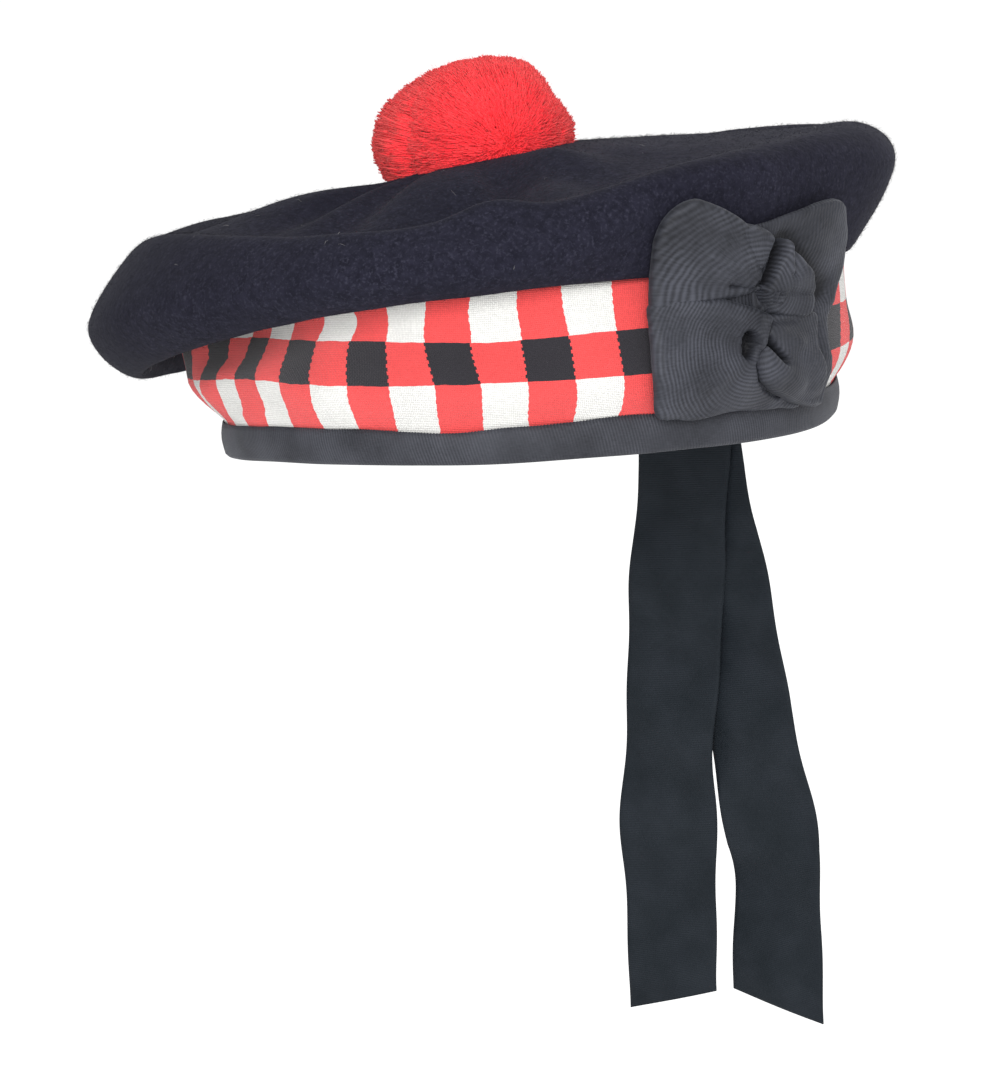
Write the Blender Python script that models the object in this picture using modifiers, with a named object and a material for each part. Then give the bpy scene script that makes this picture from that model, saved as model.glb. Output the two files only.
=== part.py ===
"""Balmoral bonnet: a soft wool crown on a diced band, with a ribbon binding, a red toorie,
a ribbon bow over the left temple and two ribbon tails at the centre back.

Metres, +Z up. The origin is the middle of the head opening, level with the lowest edge of the
binding. The wearer faces -Y, so +X is the wearer's left. Angles round the bonnet are in degrees
from the front, growing towards the wearer's left.
"""

import math

import bmesh
import bpy
from mathutils import Euler, Vector

# Clearance between sewn layers, which touch in the real bonnet
CLEARANCE = 0.0004

# Head opening, measured over the outside of the diced band at its foot
RIM_LENGTH = 0.1885
RIM_WIDTH = 0.1802

# Diced band: three rows of squares above the binding
BAND_WALL = 0.0018
DICE_ROWS = 3
DICE_ROW_HEIGHT = 0.0123
BAND_SWELL = 0.0062
BAND_TURN_UP = 0.0013

# Ribbon binding, folded over the foot of the band
BINDING_WALL = 0.0010
BINDING_HEIGHT = 0.0103
BINDING_BULGE = 0.0006

# Crown, sewn inside the top of the band
CROWN_WALL = 0.0020
CROWN_OVERHANG = 0.0247
CROWN_RISE = 0.0350
CROWN_TUCK = 0.0070
CROWN_SHIFT_X = -0.0115
CROWN_SHIFT_Y = -0.0062
TOP_RISE = 0.0314
TOP_TILT = 8.0
TOP_TILT_FALLS_TO = -60.0
TOP_SEAT_RADIUS = 0.0278
VALLEY_WAY = 0.25
VALLEY_CLIMB = 0.12
SHOULDER_WAY = 0.68
SHOULDER_CLIMB = 0.80

# Toorie, a ball of cut yarn sewn down on the crown
TOORIE_RADIUS = 0.0309
TOORIE_HEIGHT = 0.0309
TOORIE_LOCK = 0.0030
TOORIE_LOCK_GAP = 0.0009
TOORIE_SUBDIVISIONS = 2
TOORIE_FLAT = 0.28
TOORIE_TURN = (0.3, 0.2, 0.1)

# Bow over the left temple
BOW_ANGLE = 67.0
BOW_WIDTH = 0.0535
BOW_HEIGHT = 0.0602
BOW_FOOT = 0.0088
BOW_WALL = 0.0012
BOW_PUFF = 0.0082
BOW_LEAN = 0.0093
BOW_PINCH = 0.03
KNOT_WIDTH = 0.0060
KNOT_HEIGHT = 0.0100
KNOT_DOME = 0.0010
LOOP_STAND = 1.4
LOOP_END = 0.12

# Ribbon tails at the centre back
TAIL_WIDTH = 0.0330
TAIL_LENGTH = 0.2120
TAIL_WALL = 0.0010
TAIL_SLANT = 0.0088
TAIL_CLING = 0.20
TAIL_CUP = 0.25
TAIL_CUT = 0.25

# How finely the round pieces are divided
AROUND = 60

# Swell of the band out from its foot, as shares of BAND_SWELL, at the angles shown
BAND_COLUMNS = ("angle", "middle", "top")
BAND_TABLE = (
    (-60, 1.75, 2.17),
    (-30, 1.26, 1.16),
    (0, 1.00, 0.72),
    (30, 0.98, 0.70),
    (60, 1.00, 0.77),
    (90, 0.90, 0.90),
    (120, 0.60, 0.63),
    (150, 0.95, 0.95),
    (180, 1.00, 0.93),
    (210, 1.08, 1.08),
    (240, 1.33, 1.47),
    (270, 1.63, 1.90),
)

# Sections of the crown. Columns ending in _out are distances out from the band's top edge, as
# shares of CROWN_OVERHANG. Columns ending in _rise are heights above it, as shares of
# CROWN_RISE. The lip is the lowest line of the roll, the edge its furthest, the ridge its top.
# The dent is the depth of the valley behind the ridge, as a share of CROWN_RISE.
CROWN_COLUMNS = (
    "angle", "lip_out", "lip_rise", "edge_out", "edge_rise", "ridge_out", "ridge_rise", "dent"
)
CROWN_TABLE = (
    (-60, 0.46, -0.77, 1.10, -0.38, 0.44, 0.33, 0.00),
    (-30, 0.48, -0.46, 0.98, -0.10, 0.38, 0.42, 0.06),
    (0, 0.42, -0.16, 0.76, 0.10, 0.36, 0.47, 0.12),
    (30, 0.34, 0.01, 0.64, 0.22, 0.30, 0.58, 0.16),
    (60, 0.10, 0.05, 0.36, 0.66, 0.16, 0.84, 0.08),
    (90, 0.07, 0.05, 0.42, 0.76, 0.18, 1.00, 0.02),
    (120, 0.05, 0.03, 0.66, 0.78, 0.36, 1.07, 0.02),
    (150, 0.16, 0.00, 0.66, 0.60, 0.36, 1.00, 0.04),
    (180, 0.40, -0.10, 0.86, 0.40, 0.36, 0.92, 0.05),
    (210, 0.46, -0.24, 0.96, 0.22, 0.34, 0.82, 0.03),
    (240, 0.46, -0.54, 1.02, -0.06, 0.36, 0.66, 0.02),
    (270, 0.50, -0.80, 1.08, -0.30, 0.40, 0.48, 0.00),
)

# Folds pressed into the crown's top: the angle and the way in from ridge (0) to seat (1) of
# the fold's middle, its half width in degrees, its half length on that way, and its depth as a
# share of CROWN_RISE, negative where the cloth stands up
FOLD_COLUMNS = ("angle", "way_in", "half_width", "half_length", "depth")
FOLD_TABLE = (
    (-8, 0.62, 9, 0.30, 0.10),
    (-26, 0.66, 8, 0.26, 0.07),
    (14, 0.36, 10, 0.22, 0.07),
    (26, 0.12, 8, 0.14, -0.07),
    (38, 0.34, 8, 0.18, -0.08),
    (50, 0.60, 9, 0.24, -0.05),
    (-46, 0.30, 14, 0.40, -0.05),
    (140, 0.30, 13, 0.30, 0.08),
    (196, 0.26, 15, 0.34, 0.07),
    (248, 0.34, 16, 0.34, 0.06),
)

# Waves along the crown's outer edge: waves per turn, phase in degrees, and depth as a share
# of CROWN_OVERHANG
WAVE_COLUMNS = ("count", "phase", "depth")
WAVE_TABLE = (
    (7, 20, 0.035),
    (11, 75, 0.025),
)

# Outline and layers of the bow. "along" runs from the left end (-1) to the right end (1) as
# seen from outside, as shares of half BOW_WIDTH; heights are shares of BOW_HEIGHT above
# BOW_FOOT; "out" is a share of BOW_PUFF
BACKING_COLUMNS = ("along", "low", "high")
BACKING_TABLE = (
    (-0.97, 0.02, 0.60),
    (-0.88, 0.01, 0.82),
    (-0.72, 0.01, 0.94),
    (-0.44, 0.01, 0.93),
    (-0.16, 0.01, 0.86),
    (0.10, 0.01, 0.85),
    (0.44, 0.01, 0.88),
    (0.76, 0.01, 0.91),
    (1.00, 0.02, 0.92),
    (1.30, 0.52, 0.90),
)
LOOP_COLUMNS = ("along", "low", "high", "out")
UPPER_LOOP_TABLE = (
    (-0.98, 0.52, 0.72, 0.10),
    (-0.84, 0.51, 0.92, 0.40),
    (-0.68, 0.50, 1.00, 0.60),
    (-0.40, 0.50, 0.95, 0.75),
    (-0.20, 0.49, 0.91, 0.65),
    (-0.08, 0.48, 0.84, 0.50),
    (-0.02, 0.48, 0.66, 0.45),
    (0.08, 0.48, 0.64, 0.45),
    (0.20, 0.48, 0.80, 1.00),
    (0.36, 0.48, 0.76, 0.95),
    (0.52, 0.49, 0.66, 0.60),
    (0.60, 0.50, 0.60, 0.20),
)
LOWER_LOOP_TABLE = (
    (-0.98, 0.02, 0.47, 0.10),
    (-0.72, 0.01, 0.48, 0.40),
    (-0.42, 0.01, 0.47, 0.60),
    (-0.18, 0.04, 0.45, 0.60),
    (-0.04, 0.15, 0.38, 0.45),
    (0.08, 0.17, 0.37, 0.45),
    (0.22, 0.12, 0.42, 0.70),
    (0.46, 0.05, 0.46, 0.80),
    (0.74, 0.03, 0.46, 0.55),
    (0.98, 0.03, 0.45, 0.10),
)

# Courses of the tails below the rim: the drop as a share of TAIL_LENGTH, the sideways drift
# and the way out from the back of the binding as shares of TAIL_WIDTH
TAIL_COLUMNS = ("drop", "drift", "out")
LEFT_TAIL_TABLE = (
    (0.00, 0.00, 0.00),
    (0.05, 0.01, 0.00),
    (0.25, 0.14, 0.03),
    (0.52, 0.36, 0.12),
    (0.75, 0.50, 0.27),
    (0.86, 0.49, 0.33),
    (1.00, 0.47, 0.29),
)
RIGHT_TAIL_TABLE = (
    (0.00, 0.00, 0.00),
    (0.05, -0.01, 0.00),
    (0.25, -0.15, 0.02),
    (0.50, -0.36, 0.09),
    (0.75, -0.53, 0.20),
    (1.00, -0.56, 0.22),
)

# Colours and finishes: base colour and roughness
FINISHES = {
    "wool_black": ((0.012, 0.013, 0.018), 0.95),
    "diced_weave": ((0.70, 0.06, 0.05), 0.85),
    "ribbon_black": ((0.030, 0.032, 0.038), 0.60),
    "yarn_red": ((0.75, 0.03, 0.03), 0.90),
}

BAND_FOOT = BINDING_WALL + CLEARANCE
BAND_TOP = BINDING_HEIGHT + DICE_ROWS * DICE_ROW_HEIGHT + BAND_TURN_UP
SEAT_RISE = BAND_TOP + TOP_RISE


def clear_scene():
    """Removes what the file opened with."""
    for obj in list(bpy.data.objects):
        bpy.data.objects.remove(obj)


def finish(name):
    """The named material, made once."""
    material = bpy.data.materials.get(name)
    if material is None:
        colour, roughness = FINISHES[name]
        material = bpy.data.materials.new(name)
        material.use_nodes = True
        shader = material.node_tree.nodes["Principled BSDF"]
        shader.inputs["Base Color"].default_value = (*colour, 1.0)
        shader.inputs["Roughness"].default_value = roughness
        shader.inputs["Metallic"].default_value = 0.0
    return material


def add_object(name, mesh, material_name, collection):
    """Links a mesh as a named object with its material, shaded smooth."""
    mesh.materials.append(finish(material_name))
    mesh.shade_smooth()
    obj = bpy.data.objects.new(name, mesh)
    collection.objects.link(obj)
    return obj


def add_wall(obj, thickness, offset, even=False):
    """Gives an open surface its thickness. Offset -1 puts the wall behind the surface."""
    wall = obj.modifiers.new("wall", "SOLIDIFY")
    wall.thickness = thickness
    wall.offset = offset
    wall.use_even_offset = even


def catmull_rom(a, b, c, d, t):
    """The value at t between b and c on the smooth curve through a, b, c and d."""
    return 0.5 * (
        2 * b + (c - a) * t + (2 * a - 5 * b + 4 * c - d) * t * t + (3 * b - a - 3 * c + d) * t * t * t
    )


def around_table(table, columns, angle):
    """The row of a table of sections at an angle, as a dict, smoothly round the full turn."""
    count = len(table)
    start = table[0][0]
    turned = start + (angle - start) % 360.0
    here = max(i for i in range(count) if table[i][0] <= turned)
    last = table[here][0]
    following = table[(here + 1) % count][0] + (360.0 if here == count - 1 else 0.0)
    t = (turned - last) / (following - last)
    rows = [table[(here + step) % count] for step in (-1, 0, 1, 2)]
    return {
        column: catmull_rom(*(row[i] for row in rows), t) for i, column in enumerate(columns) if i > 0
    }


def along_table(table, columns, place):
    """The row of a table at a place along its first column, as a dict, smoothly interpolated."""
    last = len(table) - 1
    here = max([i for i in range(last) if table[i][0] <= place], default=0)
    t = (place - table[here][0]) / (table[here + 1][0] - table[here][0])
    rows = [table[min(max(here + step, 0), last)] for step in (-1, 0, 1, 2)]
    return {
        column: catmull_rom(*(row[i] for row in rows), t) for i, column in enumerate(columns) if i > 0
    }


def direction(angle):
    """The unit vector pointing out from the middle at an angle round the bonnet."""
    turn = math.radians(angle)
    return Vector((math.sin(turn), -math.cos(turn), 0.0))


def oval(angle, out, height):
    """A point on the oval of the rim, moved out along its normal, at a height."""
    turn = math.radians(angle)
    half_width, half_length = RIM_WIDTH / 2, RIM_LENGTH / 2
    normal = Vector((math.sin(turn) / half_width, -math.cos(turn) / half_length, 0.0)).normalized()
    return Vector((half_width * math.sin(turn), -half_length * math.cos(turn), height)) + normal * out


def band_out(angle, height):
    """How far the band's outside stands out from the oval of the rim at a height."""
    row = around_table(BAND_TABLE, BAND_COLUMNS, angle)
    middle_height = BINDING_HEIGHT + DICE_ROW_HEIGHT
    top_height = middle_height + DICE_ROW_HEIGHT
    if height <= BINDING_HEIGHT:
        return 0.0
    if height <= middle_height:
        rise = (height - BINDING_HEIGHT) / DICE_ROW_HEIGHT
        return BAND_SWELL * row["middle"] * math.sin(rise * math.pi / 2)
    rise = (height - middle_height) / (top_height - middle_height)
    eased = min(rise, 1.0)
    eased = eased * eased * (3 - 2 * eased)
    return BAND_SWELL * (row["middle"] + (row["top"] - row["middle"]) * eased)


def grid_mesh(name, rows, closed, pole=None):
    """A mesh of quads through rows of points. A pole closes the last row with a fan."""
    count = len(rows[0])
    points = [point for row in rows for point in row]
    spans = count if closed else count - 1
    faces = []
    for r in range(len(rows) - 1):
        for i in range(spans):
            j = (i + 1) % count
            faces.append((r * count + i, r * count + j, (r + 1) * count + j, (r + 1) * count + i))
    if pole is not None:
        points.append(pole)
        last = (len(rows) - 1) * count
        faces += [(last + i, last + (i + 1) % count, len(points) - 1) for i in range(spans)]
    mesh = bpy.data.meshes.new(name)
    mesh.from_pydata([tuple(point) for point in points], [], faces)
    mesh.update()
    return mesh


def ring_angles():
    """The angles of the points round every ring of the band, the binding and the crown."""
    return [360.0 * i / AROUND for i in range(AROUND)]


def diced_band(collection):
    """The woven band, an open ring that flares out above the binding."""
    half_row = DICE_ROW_HEIGHT / 2
    heights = [BAND_FOOT, BINDING_HEIGHT]
    heights += [BINDING_HEIGHT + half_row * step for step in range(1, 2 * DICE_ROWS)]
    heights.append(BAND_TOP)
    rows = [
        [oval(angle, band_out(angle, height), height) for angle in ring_angles()] for height in heights
    ]
    obj = add_object("diced_band", grid_mesh("diced_band", rows, True), "diced_weave", collection)
    add_wall(obj, BAND_WALL, -1.0)


def rim_binding(collection):
    """The ribbon folded over the band's foot, outside and inside."""
    half = BINDING_WALL / 2
    outside = CLEARANCE + half
    inside = -BAND_WALL - CLEARANCE - half
    profile = (
        (outside, BINDING_HEIGHT),
        (outside + BINDING_BULGE, BINDING_HEIGHT / 2),
        (outside, half),
        (inside, half),
        (inside, BINDING_HEIGHT),
    )
    rows = [[oval(angle, out, height) for angle in ring_angles()] for out, height in profile[::-1]]
    obj = add_object("rim_binding", grid_mesh("rim_binding", rows, True), "ribbon_black", collection)
    add_wall(obj, BINDING_WALL, 0.0, even=True)


def top_plane(x, y):
    """Height of the tilted flat that carries the toorie, at a place over the bonnet."""
    fall = direction(TOP_TILT_FALLS_TO)
    along = (x - CROWN_SHIFT_X) * fall.x + (y - CROWN_SHIFT_Y) * fall.y
    return SEAT_RISE - along * math.tan(math.radians(TOP_TILT))


def fold_depth(angle, way_in):
    """How deep the folds press the crown's top at an angle and a way in from its ridge."""
    depth = 0.0
    for values in FOLD_TABLE:
        fold = dict(zip(FOLD_COLUMNS, values))
        turn = (angle - fold["angle"] + 180.0) % 360.0 - 180.0
        across = (turn / fold["half_width"]) ** 2
        along = ((way_in - fold["way_in"]) / fold["half_length"]) ** 2
        depth += fold["depth"] * math.exp(-across - along)
    return depth * CROWN_RISE


def edge_wave(angle):
    """The scalloping of the crown's edge at an angle."""
    waves = (dict(zip(WAVE_COLUMNS, values)) for values in WAVE_TABLE)
    total = sum(w["depth"] * math.sin(math.radians(w["count"] * angle + w["phase"])) for w in waves)
    return total * CROWN_OVERHANG


def crown_section(angle):
    """Points on the crown's outside at one angle, from the tucked neck to the toorie's seat."""
    row = around_table(CROWN_TABLE, CROWN_COLUMNS, angle)
    outward = direction(angle)
    band = band_out(angle, BAND_TOP)
    neck_out = band - BAND_WALL - CLEARANCE
    wave = edge_wave(angle)

    def roll(out, rise, wave_share):
        point = oval(angle, band, BAND_TOP + rise * CROWN_RISE)
        return point + outward * (out * CROWN_OVERHANG + wave * wave_share)

    neck_low = oval(angle, neck_out, BAND_TOP - CROWN_TUCK)
    neck_top = oval(angle, neck_out, BAND_TOP + CLEARANCE)
    over = oval(angle, band + CLEARANCE, BAND_TOP + BAND_WALL)
    lip = roll(row["lip_out"], row["lip_rise"], 0.6)
    edge = roll(row["edge_out"], row["edge_rise"], 1.0)
    ridge = roll(row["ridge_out"], row["ridge_rise"], 0.4)
    seat = Vector((CROWN_SHIFT_X, CROWN_SHIFT_Y, 0.0)) + outward * TOP_SEAT_RADIUS
    seat.z = top_plane(seat.x, seat.y)
    valley = ridge.lerp(seat, VALLEY_WAY)
    valley.z = ridge.z + (seat.z - ridge.z) * VALLEY_CLIMB - row["dent"] * CROWN_RISE
    shoulder = ridge.lerp(seat, SHOULDER_WAY)
    shoulder.z = ridge.z + (seat.z - ridge.z) * SHOULDER_CLIMB
    inner = seat.lerp(Vector((CROWN_SHIFT_X, CROWN_SHIFT_Y, SEAT_RISE)), 0.5)
    knots = [neck_low, neck_top, over, lip, edge, ridge, valley, shoulder, seat, inner]
    spans = (1, 1, 1, 3, 3, 2, 3, 2, 1)
    ridge_place, seat_place = 5, 8
    points = []
    for i, steps in enumerate(spans):
        four = [knots[min(max(i + step, 0), len(knots) - 1)] for step in (-1, 0, 1, 2)]
        for step in range(steps):
            t = step / steps
            point = catmull_rom(*four, t)
            way_in = (i + t - ridge_place) / (seat_place - ridge_place)
            if 0.0 < way_in < 1.0:
                point.z -= fold_depth(angle, way_in)
            points.append(point)
    points.append(knots[-1])
    return points


def crown(collection):
    """The wool crown, hollow, with its neck tucked inside the band."""
    sections = [crown_section(angle) for angle in ring_angles()]
    rows = [list(ring) for ring in zip(*sections)]
    pole = Vector((CROWN_SHIFT_X, CROWN_SHIFT_Y, SEAT_RISE))
    obj = add_object("crown", grid_mesh("crown", rows, True, pole), "wool_black", collection)
    add_wall(obj, CROWN_WALL, -1.0)


def toorie(collection):
    """The yarn ball: a head with a flat foot, its outside drawn out into tapered locks."""
    head_radius = TOORIE_RADIUS - TOORIE_LOCK
    bm = bmesh.new()
    bmesh.ops.create_icosphere(bm, subdivisions=TOORIE_SUBDIVISIONS, radius=head_radius)
    bmesh.ops.bevel(bm, geom=bm.verts[:], offset=33.0, offset_type="PERCENT", affect="VERTICES")
    bmesh.ops.rotate(bm, verts=bm.verts, matrix=Euler(TOORIE_TURN).to_matrix())
    whole = bm.verts[:] + bm.edges[:] + bm.faces[:]
    foot = (0.0, 0.0, -head_radius * TOORIE_FLAT)
    bmesh.ops.bisect_plane(bm, geom=whole, plane_co=foot, plane_no=(0, 0, 1), clear_inner=True)
    outside = bm.faces[:]
    bmesh.ops.holes_fill(bm, edges=[edge for edge in bm.edges if edge.is_boundary])
    bmesh.ops.inset_individual(bm, faces=outside, thickness=TOORIE_LOCK_GAP, depth=TOORIE_LOCK)
    bmesh.ops.recalc_face_normals(bm, faces=bm.faces[:])
    low = min(vert.co.z for vert in bm.verts)
    high = max(vert.co.z for vert in bm.verts)
    for vert in bm.verts:
        vert.co.z = (vert.co.z - low) * TOORIE_HEIGHT / (high - low)
    mesh = bpy.data.meshes.new("toorie")
    bm.to_mesh(mesh)
    bm.free()
    obj = add_object("toorie", mesh, "yarn_red", collection)
    leaning = direction(TOP_TILT_FALLS_TO) * math.sin(math.radians(TOP_TILT))
    leaning.z = math.cos(math.radians(TOP_TILT))
    obj.rotation_mode = "QUATERNION"
    obj.rotation_quaternion = leaning.to_track_quat("Z", "Y")
    obj.location = Vector((CROWN_SHIFT_X, CROWN_SHIFT_Y, SEAT_RISE)) + leaning * CLEARANCE


def bow_point(along, out, height):
    """A point of the bow: along the band from its middle, out from the binding, above the rim."""
    mean_radius = (RIM_LENGTH + RIM_WIDTH) / 4
    angle = BOW_ANGLE + math.degrees(along / mean_radius)
    upper = max(0.0, (height - BOW_FOOT) / BOW_HEIGHT * 2.0 - 1.0)
    stand = band_out(BOW_ANGLE, height) + CLEARANCE + BINDING_WALL + BINDING_BULGE
    return oval(angle, stand + BOW_LEAN * upper ** 1.5 + out, height)


def bow_height(share):
    """A height on the bow, from its share of the bow's height."""
    return BOW_FOOT + share * BOW_HEIGHT


def bow_backing(collection):
    """The flat ribbon panel behind the loops, with two lobes at its top."""
    columns, levels = 16, 5
    left, right = BACKING_TABLE[0][0], BACKING_TABLE[-1][0]
    first_out = CLEARANCE + BOW_WALL
    rows = []
    for level in range(levels + 1):
        row = []
        for i in range(columns + 1):
            place = left + (right - left) * i / columns
            edge = along_table(BACKING_TABLE, BACKING_COLUMNS, place)
            share = edge["low"] + (edge["high"] - edge["low"]) * level / levels
            row.append(bow_point(place * BOW_WIDTH / 2, first_out, bow_height(share)))
        rows.append(row)
    obj = add_object("bow_backing", grid_mesh("bow_backing", rows, False), "ribbon_black", collection)
    add_wall(obj, BOW_WALL, -1.0)


def loop_back():
    """How far out the rear of the loops lies, clear of the backing."""
    return 2 * (CLEARANCE + BOW_WALL)


def loop_middle():
    """How far out the loops' ends lie, where front and rear meet."""
    return loop_back() + BOW_WALL * LOOP_STAND


def bow_loops(name, table, collection):
    """One ribbon bow: a closed strip pinched at its middle, with a lobe to each side."""
    left, right = table[0][0], table[-1][0]
    half_steps, levels = 15, 3
    turns = [math.pi * i / half_steps for i in range(half_steps + 1)]
    places = [left + (right - left) * (0.5 - 0.5 * math.cos(turn)) for turn in turns]
    front = []
    back = []
    for place in places:
        row = along_table(table, LOOP_COLUMNS, place)
        low, high = row["low"], row["high"]
        ends = min(1.0, (place - left) / LOOP_END, (right - place) / LOOP_END)
        rounding = math.sqrt(max(0.0, 1.0 - (1.0 - ends) ** 2))
        front_out = loop_middle() + (BOW_WALL * LOOP_STAND + BOW_PUFF * row["out"]) * rounding
        rear_out = loop_middle() - (loop_middle() - loop_back()) * rounding
        front.append((place, front_out, low, high))
        back.append((place, rear_out, low, high))
    path = front + back[-2:0:-1]
    rows = []
    for level in range(levels + 1):
        share = level / levels
        rows.append([
            bow_point(place * BOW_WIDTH / 2, out, bow_height(low + (high - low) * share))
            for place, out, low, high in path
        ])
    obj = add_object(name, grid_mesh(name, rows, True), "ribbon_black", collection)
    add_wall(obj, BOW_WALL, -1.0)


def bow_knot(collection):
    """The small ribbon wrap over the pinch of the upper loops."""
    steps, levels = 6, 4
    half_span = KNOT_WIDTH / BOW_WIDTH
    places = [BOW_PINCH + half_span * (2.0 * i / steps - 1.0) for i in range(steps + 1)]
    puff = max(along_table(UPPER_LOOP_TABLE, LOOP_COLUMNS, place)["out"] for place in places)
    seat_out = loop_middle() + BOW_WALL * LOOP_STAND + BOW_PUFF * puff + CLEARANCE + BOW_WALL
    pinch = along_table(UPPER_LOOP_TABLE, LOOP_COLUMNS, BOW_PINCH)
    middle_height = bow_height((pinch["low"] + pinch["high"]) / 2)
    rows = []
    for level in range(levels + 1):
        share = level / levels - 0.5
        row = []
        for i, place in enumerate(places):
            dome = KNOT_DOME * (math.cos(math.pi * (i / steps - 0.5)) + math.cos(math.pi * share))
            height = middle_height + share * KNOT_HEIGHT
            row.append(bow_point(place * BOW_WIDTH / 2, seat_out + dome, height))
        rows.append(row)
    obj = add_object("bow_knot", grid_mesh("bow_knot", rows, False), "ribbon_black", collection)
    add_wall(obj, BOW_WALL, -1.0)


def tail(name, table, layer, collection):
    """One hanging ribbon, lapped on the back of the binding and free below the rim."""
    steps, columns = 16, 4
    first_out = CLEARANCE + BINDING_WALL + BINDING_BULGE + CLEARANCE
    layer_out = first_out + layer * (CLEARANCE + TAIL_WALL)
    half_width, half_length = RIM_WIDTH / 2 + layer_out, RIM_LENGTH / 2 + layer_out
    slant = TAIL_SLANT if table[-1][1] > 0 else -TAIL_SLANT
    rows = []
    for step in range(steps + 1):
        drop = step / steps
        course = along_table(table, TAIL_COLUMNS, drop)
        row = []
        curve = max(1.0 - drop / TAIL_CLING, TAIL_CUP)
        for i in range(columns + 1):
            across = i / columns - 0.5
            x = (across + course["drift"]) * TAIL_WIDTH
            wrapped = half_length * math.sqrt(1.0 - (x / half_width) ** 2)
            y = half_length + (wrapped - half_length) * curve + course["out"] * TAIL_WIDTH
            height = BINDING_HEIGHT - CLEARANCE - drop * TAIL_LENGTH
            height -= slant * across * max(0.0, (drop - 1.0) / TAIL_CUT + 1.0)
            row.append(Vector((x, y, height)))
        rows.append(row)
    obj = add_object(name, grid_mesh(name, rows, False), "ribbon_black", collection)
    add_wall(obj, TAIL_WALL, 1.0)


def build():
    """Makes every piece of the bonnet."""
    clear_scene()
    collection = bpy.data.collections.new("balmoral_bonnet")
    bpy.context.scene.collection.children.link(collection)
    crown(collection)
    diced_band(collection)
    rim_binding(collection)
    toorie(collection)
    bow_backing(collection)
    bow_loops("bow_upper_loops", UPPER_LOOP_TABLE, collection)
    bow_loops("bow_lower_loops", LOWER_LOOP_TABLE, collection)
    bow_knot(collection)
    tail("tail_right", RIGHT_TAIL_TABLE, 0, collection)
    tail("tail_left", LEFT_TAIL_TABLE, 1, collection)


build()
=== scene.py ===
"""Balmoral bonnet: the finish of every surface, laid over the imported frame.

Metres, +Z up. The origin is the middle of the head opening, level with the lowest edge of the
binding. The wearer faces -Y, so +X is the wearer's left. Angles round the bonnet are in degrees
from the front, growing towards the wearer's left.
"""

import math
from types import SimpleNamespace

import bpy
import numpy as np
from mathutils import Matrix, Vector, noise


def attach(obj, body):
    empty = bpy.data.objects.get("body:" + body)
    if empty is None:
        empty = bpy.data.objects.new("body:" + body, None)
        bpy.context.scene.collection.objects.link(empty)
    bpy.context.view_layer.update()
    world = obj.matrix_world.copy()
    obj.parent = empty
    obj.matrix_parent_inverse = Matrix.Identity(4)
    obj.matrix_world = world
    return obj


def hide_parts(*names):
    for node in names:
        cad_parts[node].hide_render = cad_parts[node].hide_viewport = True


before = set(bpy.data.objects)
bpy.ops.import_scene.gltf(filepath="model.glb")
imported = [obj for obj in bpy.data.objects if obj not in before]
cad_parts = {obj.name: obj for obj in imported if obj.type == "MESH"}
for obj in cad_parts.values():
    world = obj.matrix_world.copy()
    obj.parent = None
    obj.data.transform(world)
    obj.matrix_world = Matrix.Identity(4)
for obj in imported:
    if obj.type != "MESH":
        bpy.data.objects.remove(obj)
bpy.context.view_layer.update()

NEIGHBOURS = (-1, 0, 1, 2)


def catmull_rom(a, b, c, d, t):
    """The value at t between b and c on the smooth curve through a, b, c and d."""
    return 0.5 * (
        2 * b + (c - a) * t + (2 * a - 5 * b + 4 * c - d) * t * t + (3 * b - a - 3 * c + d) * t * t * t
    )


class Table(list):
    """A short table: the names of its columns, then its rows, which are read by those names."""

    def __init__(self, columns, *rows):
        self.columns = columns.split()
        self.numbers = rows
        super().__init__(SimpleNamespace(**dict(zip(self.columns, row))) for row in rows)

    def read(self, numbers, places):
        """The columns of some rows as smooth curves, at places along the first one."""
        last = len(numbers) - 1
        here = np.clip(np.searchsorted(numbers[:, 0], places, side="right") - 1, 0, last - 1)
        t = (places - numbers[here, 0]) / (numbers[here + 1, 0] - numbers[here, 0])
        four = [numbers[np.clip(here + step, 0, last)] for step in NEIGHBOURS]
        values = catmull_rom(*four, t[..., None])
        return SimpleNamespace(**{name: values[..., i] for i, name in enumerate(self.columns)})

    def along(self, places):
        """The table from its first row to its last."""
        return self.read(np.array(self.numbers, float), places)

    def around(self, angles):
        """The table all the way round, its last row leading on to its first."""
        rows = np.array(self.numbers, float)
        start = rows[0, 0]
        rows = np.concatenate([rows[-1:], rows, rows[:2]])
        rows[0, 0] -= 360.0
        rows[-2:, 0] += 360.0
        return self.read(rows, start + (angles - start) % 360.0)


MM = 0.001

# Clearance between sewn layers
CLEARANCE = 0.0004

# Head opening, measured over the outside of the diced band at its foot
RIM_LENGTH = 0.1885
RIM_WIDTH = 0.1802

# Diced band
BAND_WALL = 0.0018
DICE_ROWS = 3
DICE_ROUND = 48
DICE_PHASE = 5.858
DICE_ROW_HEIGHT = 0.0123
BAND_SWELL = 0.0062
BAND_TURN_UP = 0.0013
THREADS_A_SQUARE = 12
BAND_AROUND = 720
BAND_STEPS = 25
BAND_SLACK = 0.00035
BAND_SLACK_SIZE = 0.016
BAND_SLACK_START = 0.004
BUCKLE_START = 0.05
RIM_LIFT_FADE = 0.4

# Ribbon binding
BINDING_WALL = 0.0010
BINDING_HEIGHT = 0.0103
BINDING_BULGE = 0.0006
BINDING_RIB = 0.0009
BINDING_WAVE = 0.00045
BINDING_WAVE_SIZE = 0.030
BINDING_LOOSE_SIZE = 0.012
BINDING_NICK = 0.00010
BINDING_SIDE_POINTS = 6
BINDING_FOLD_POINTS = 5

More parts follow.
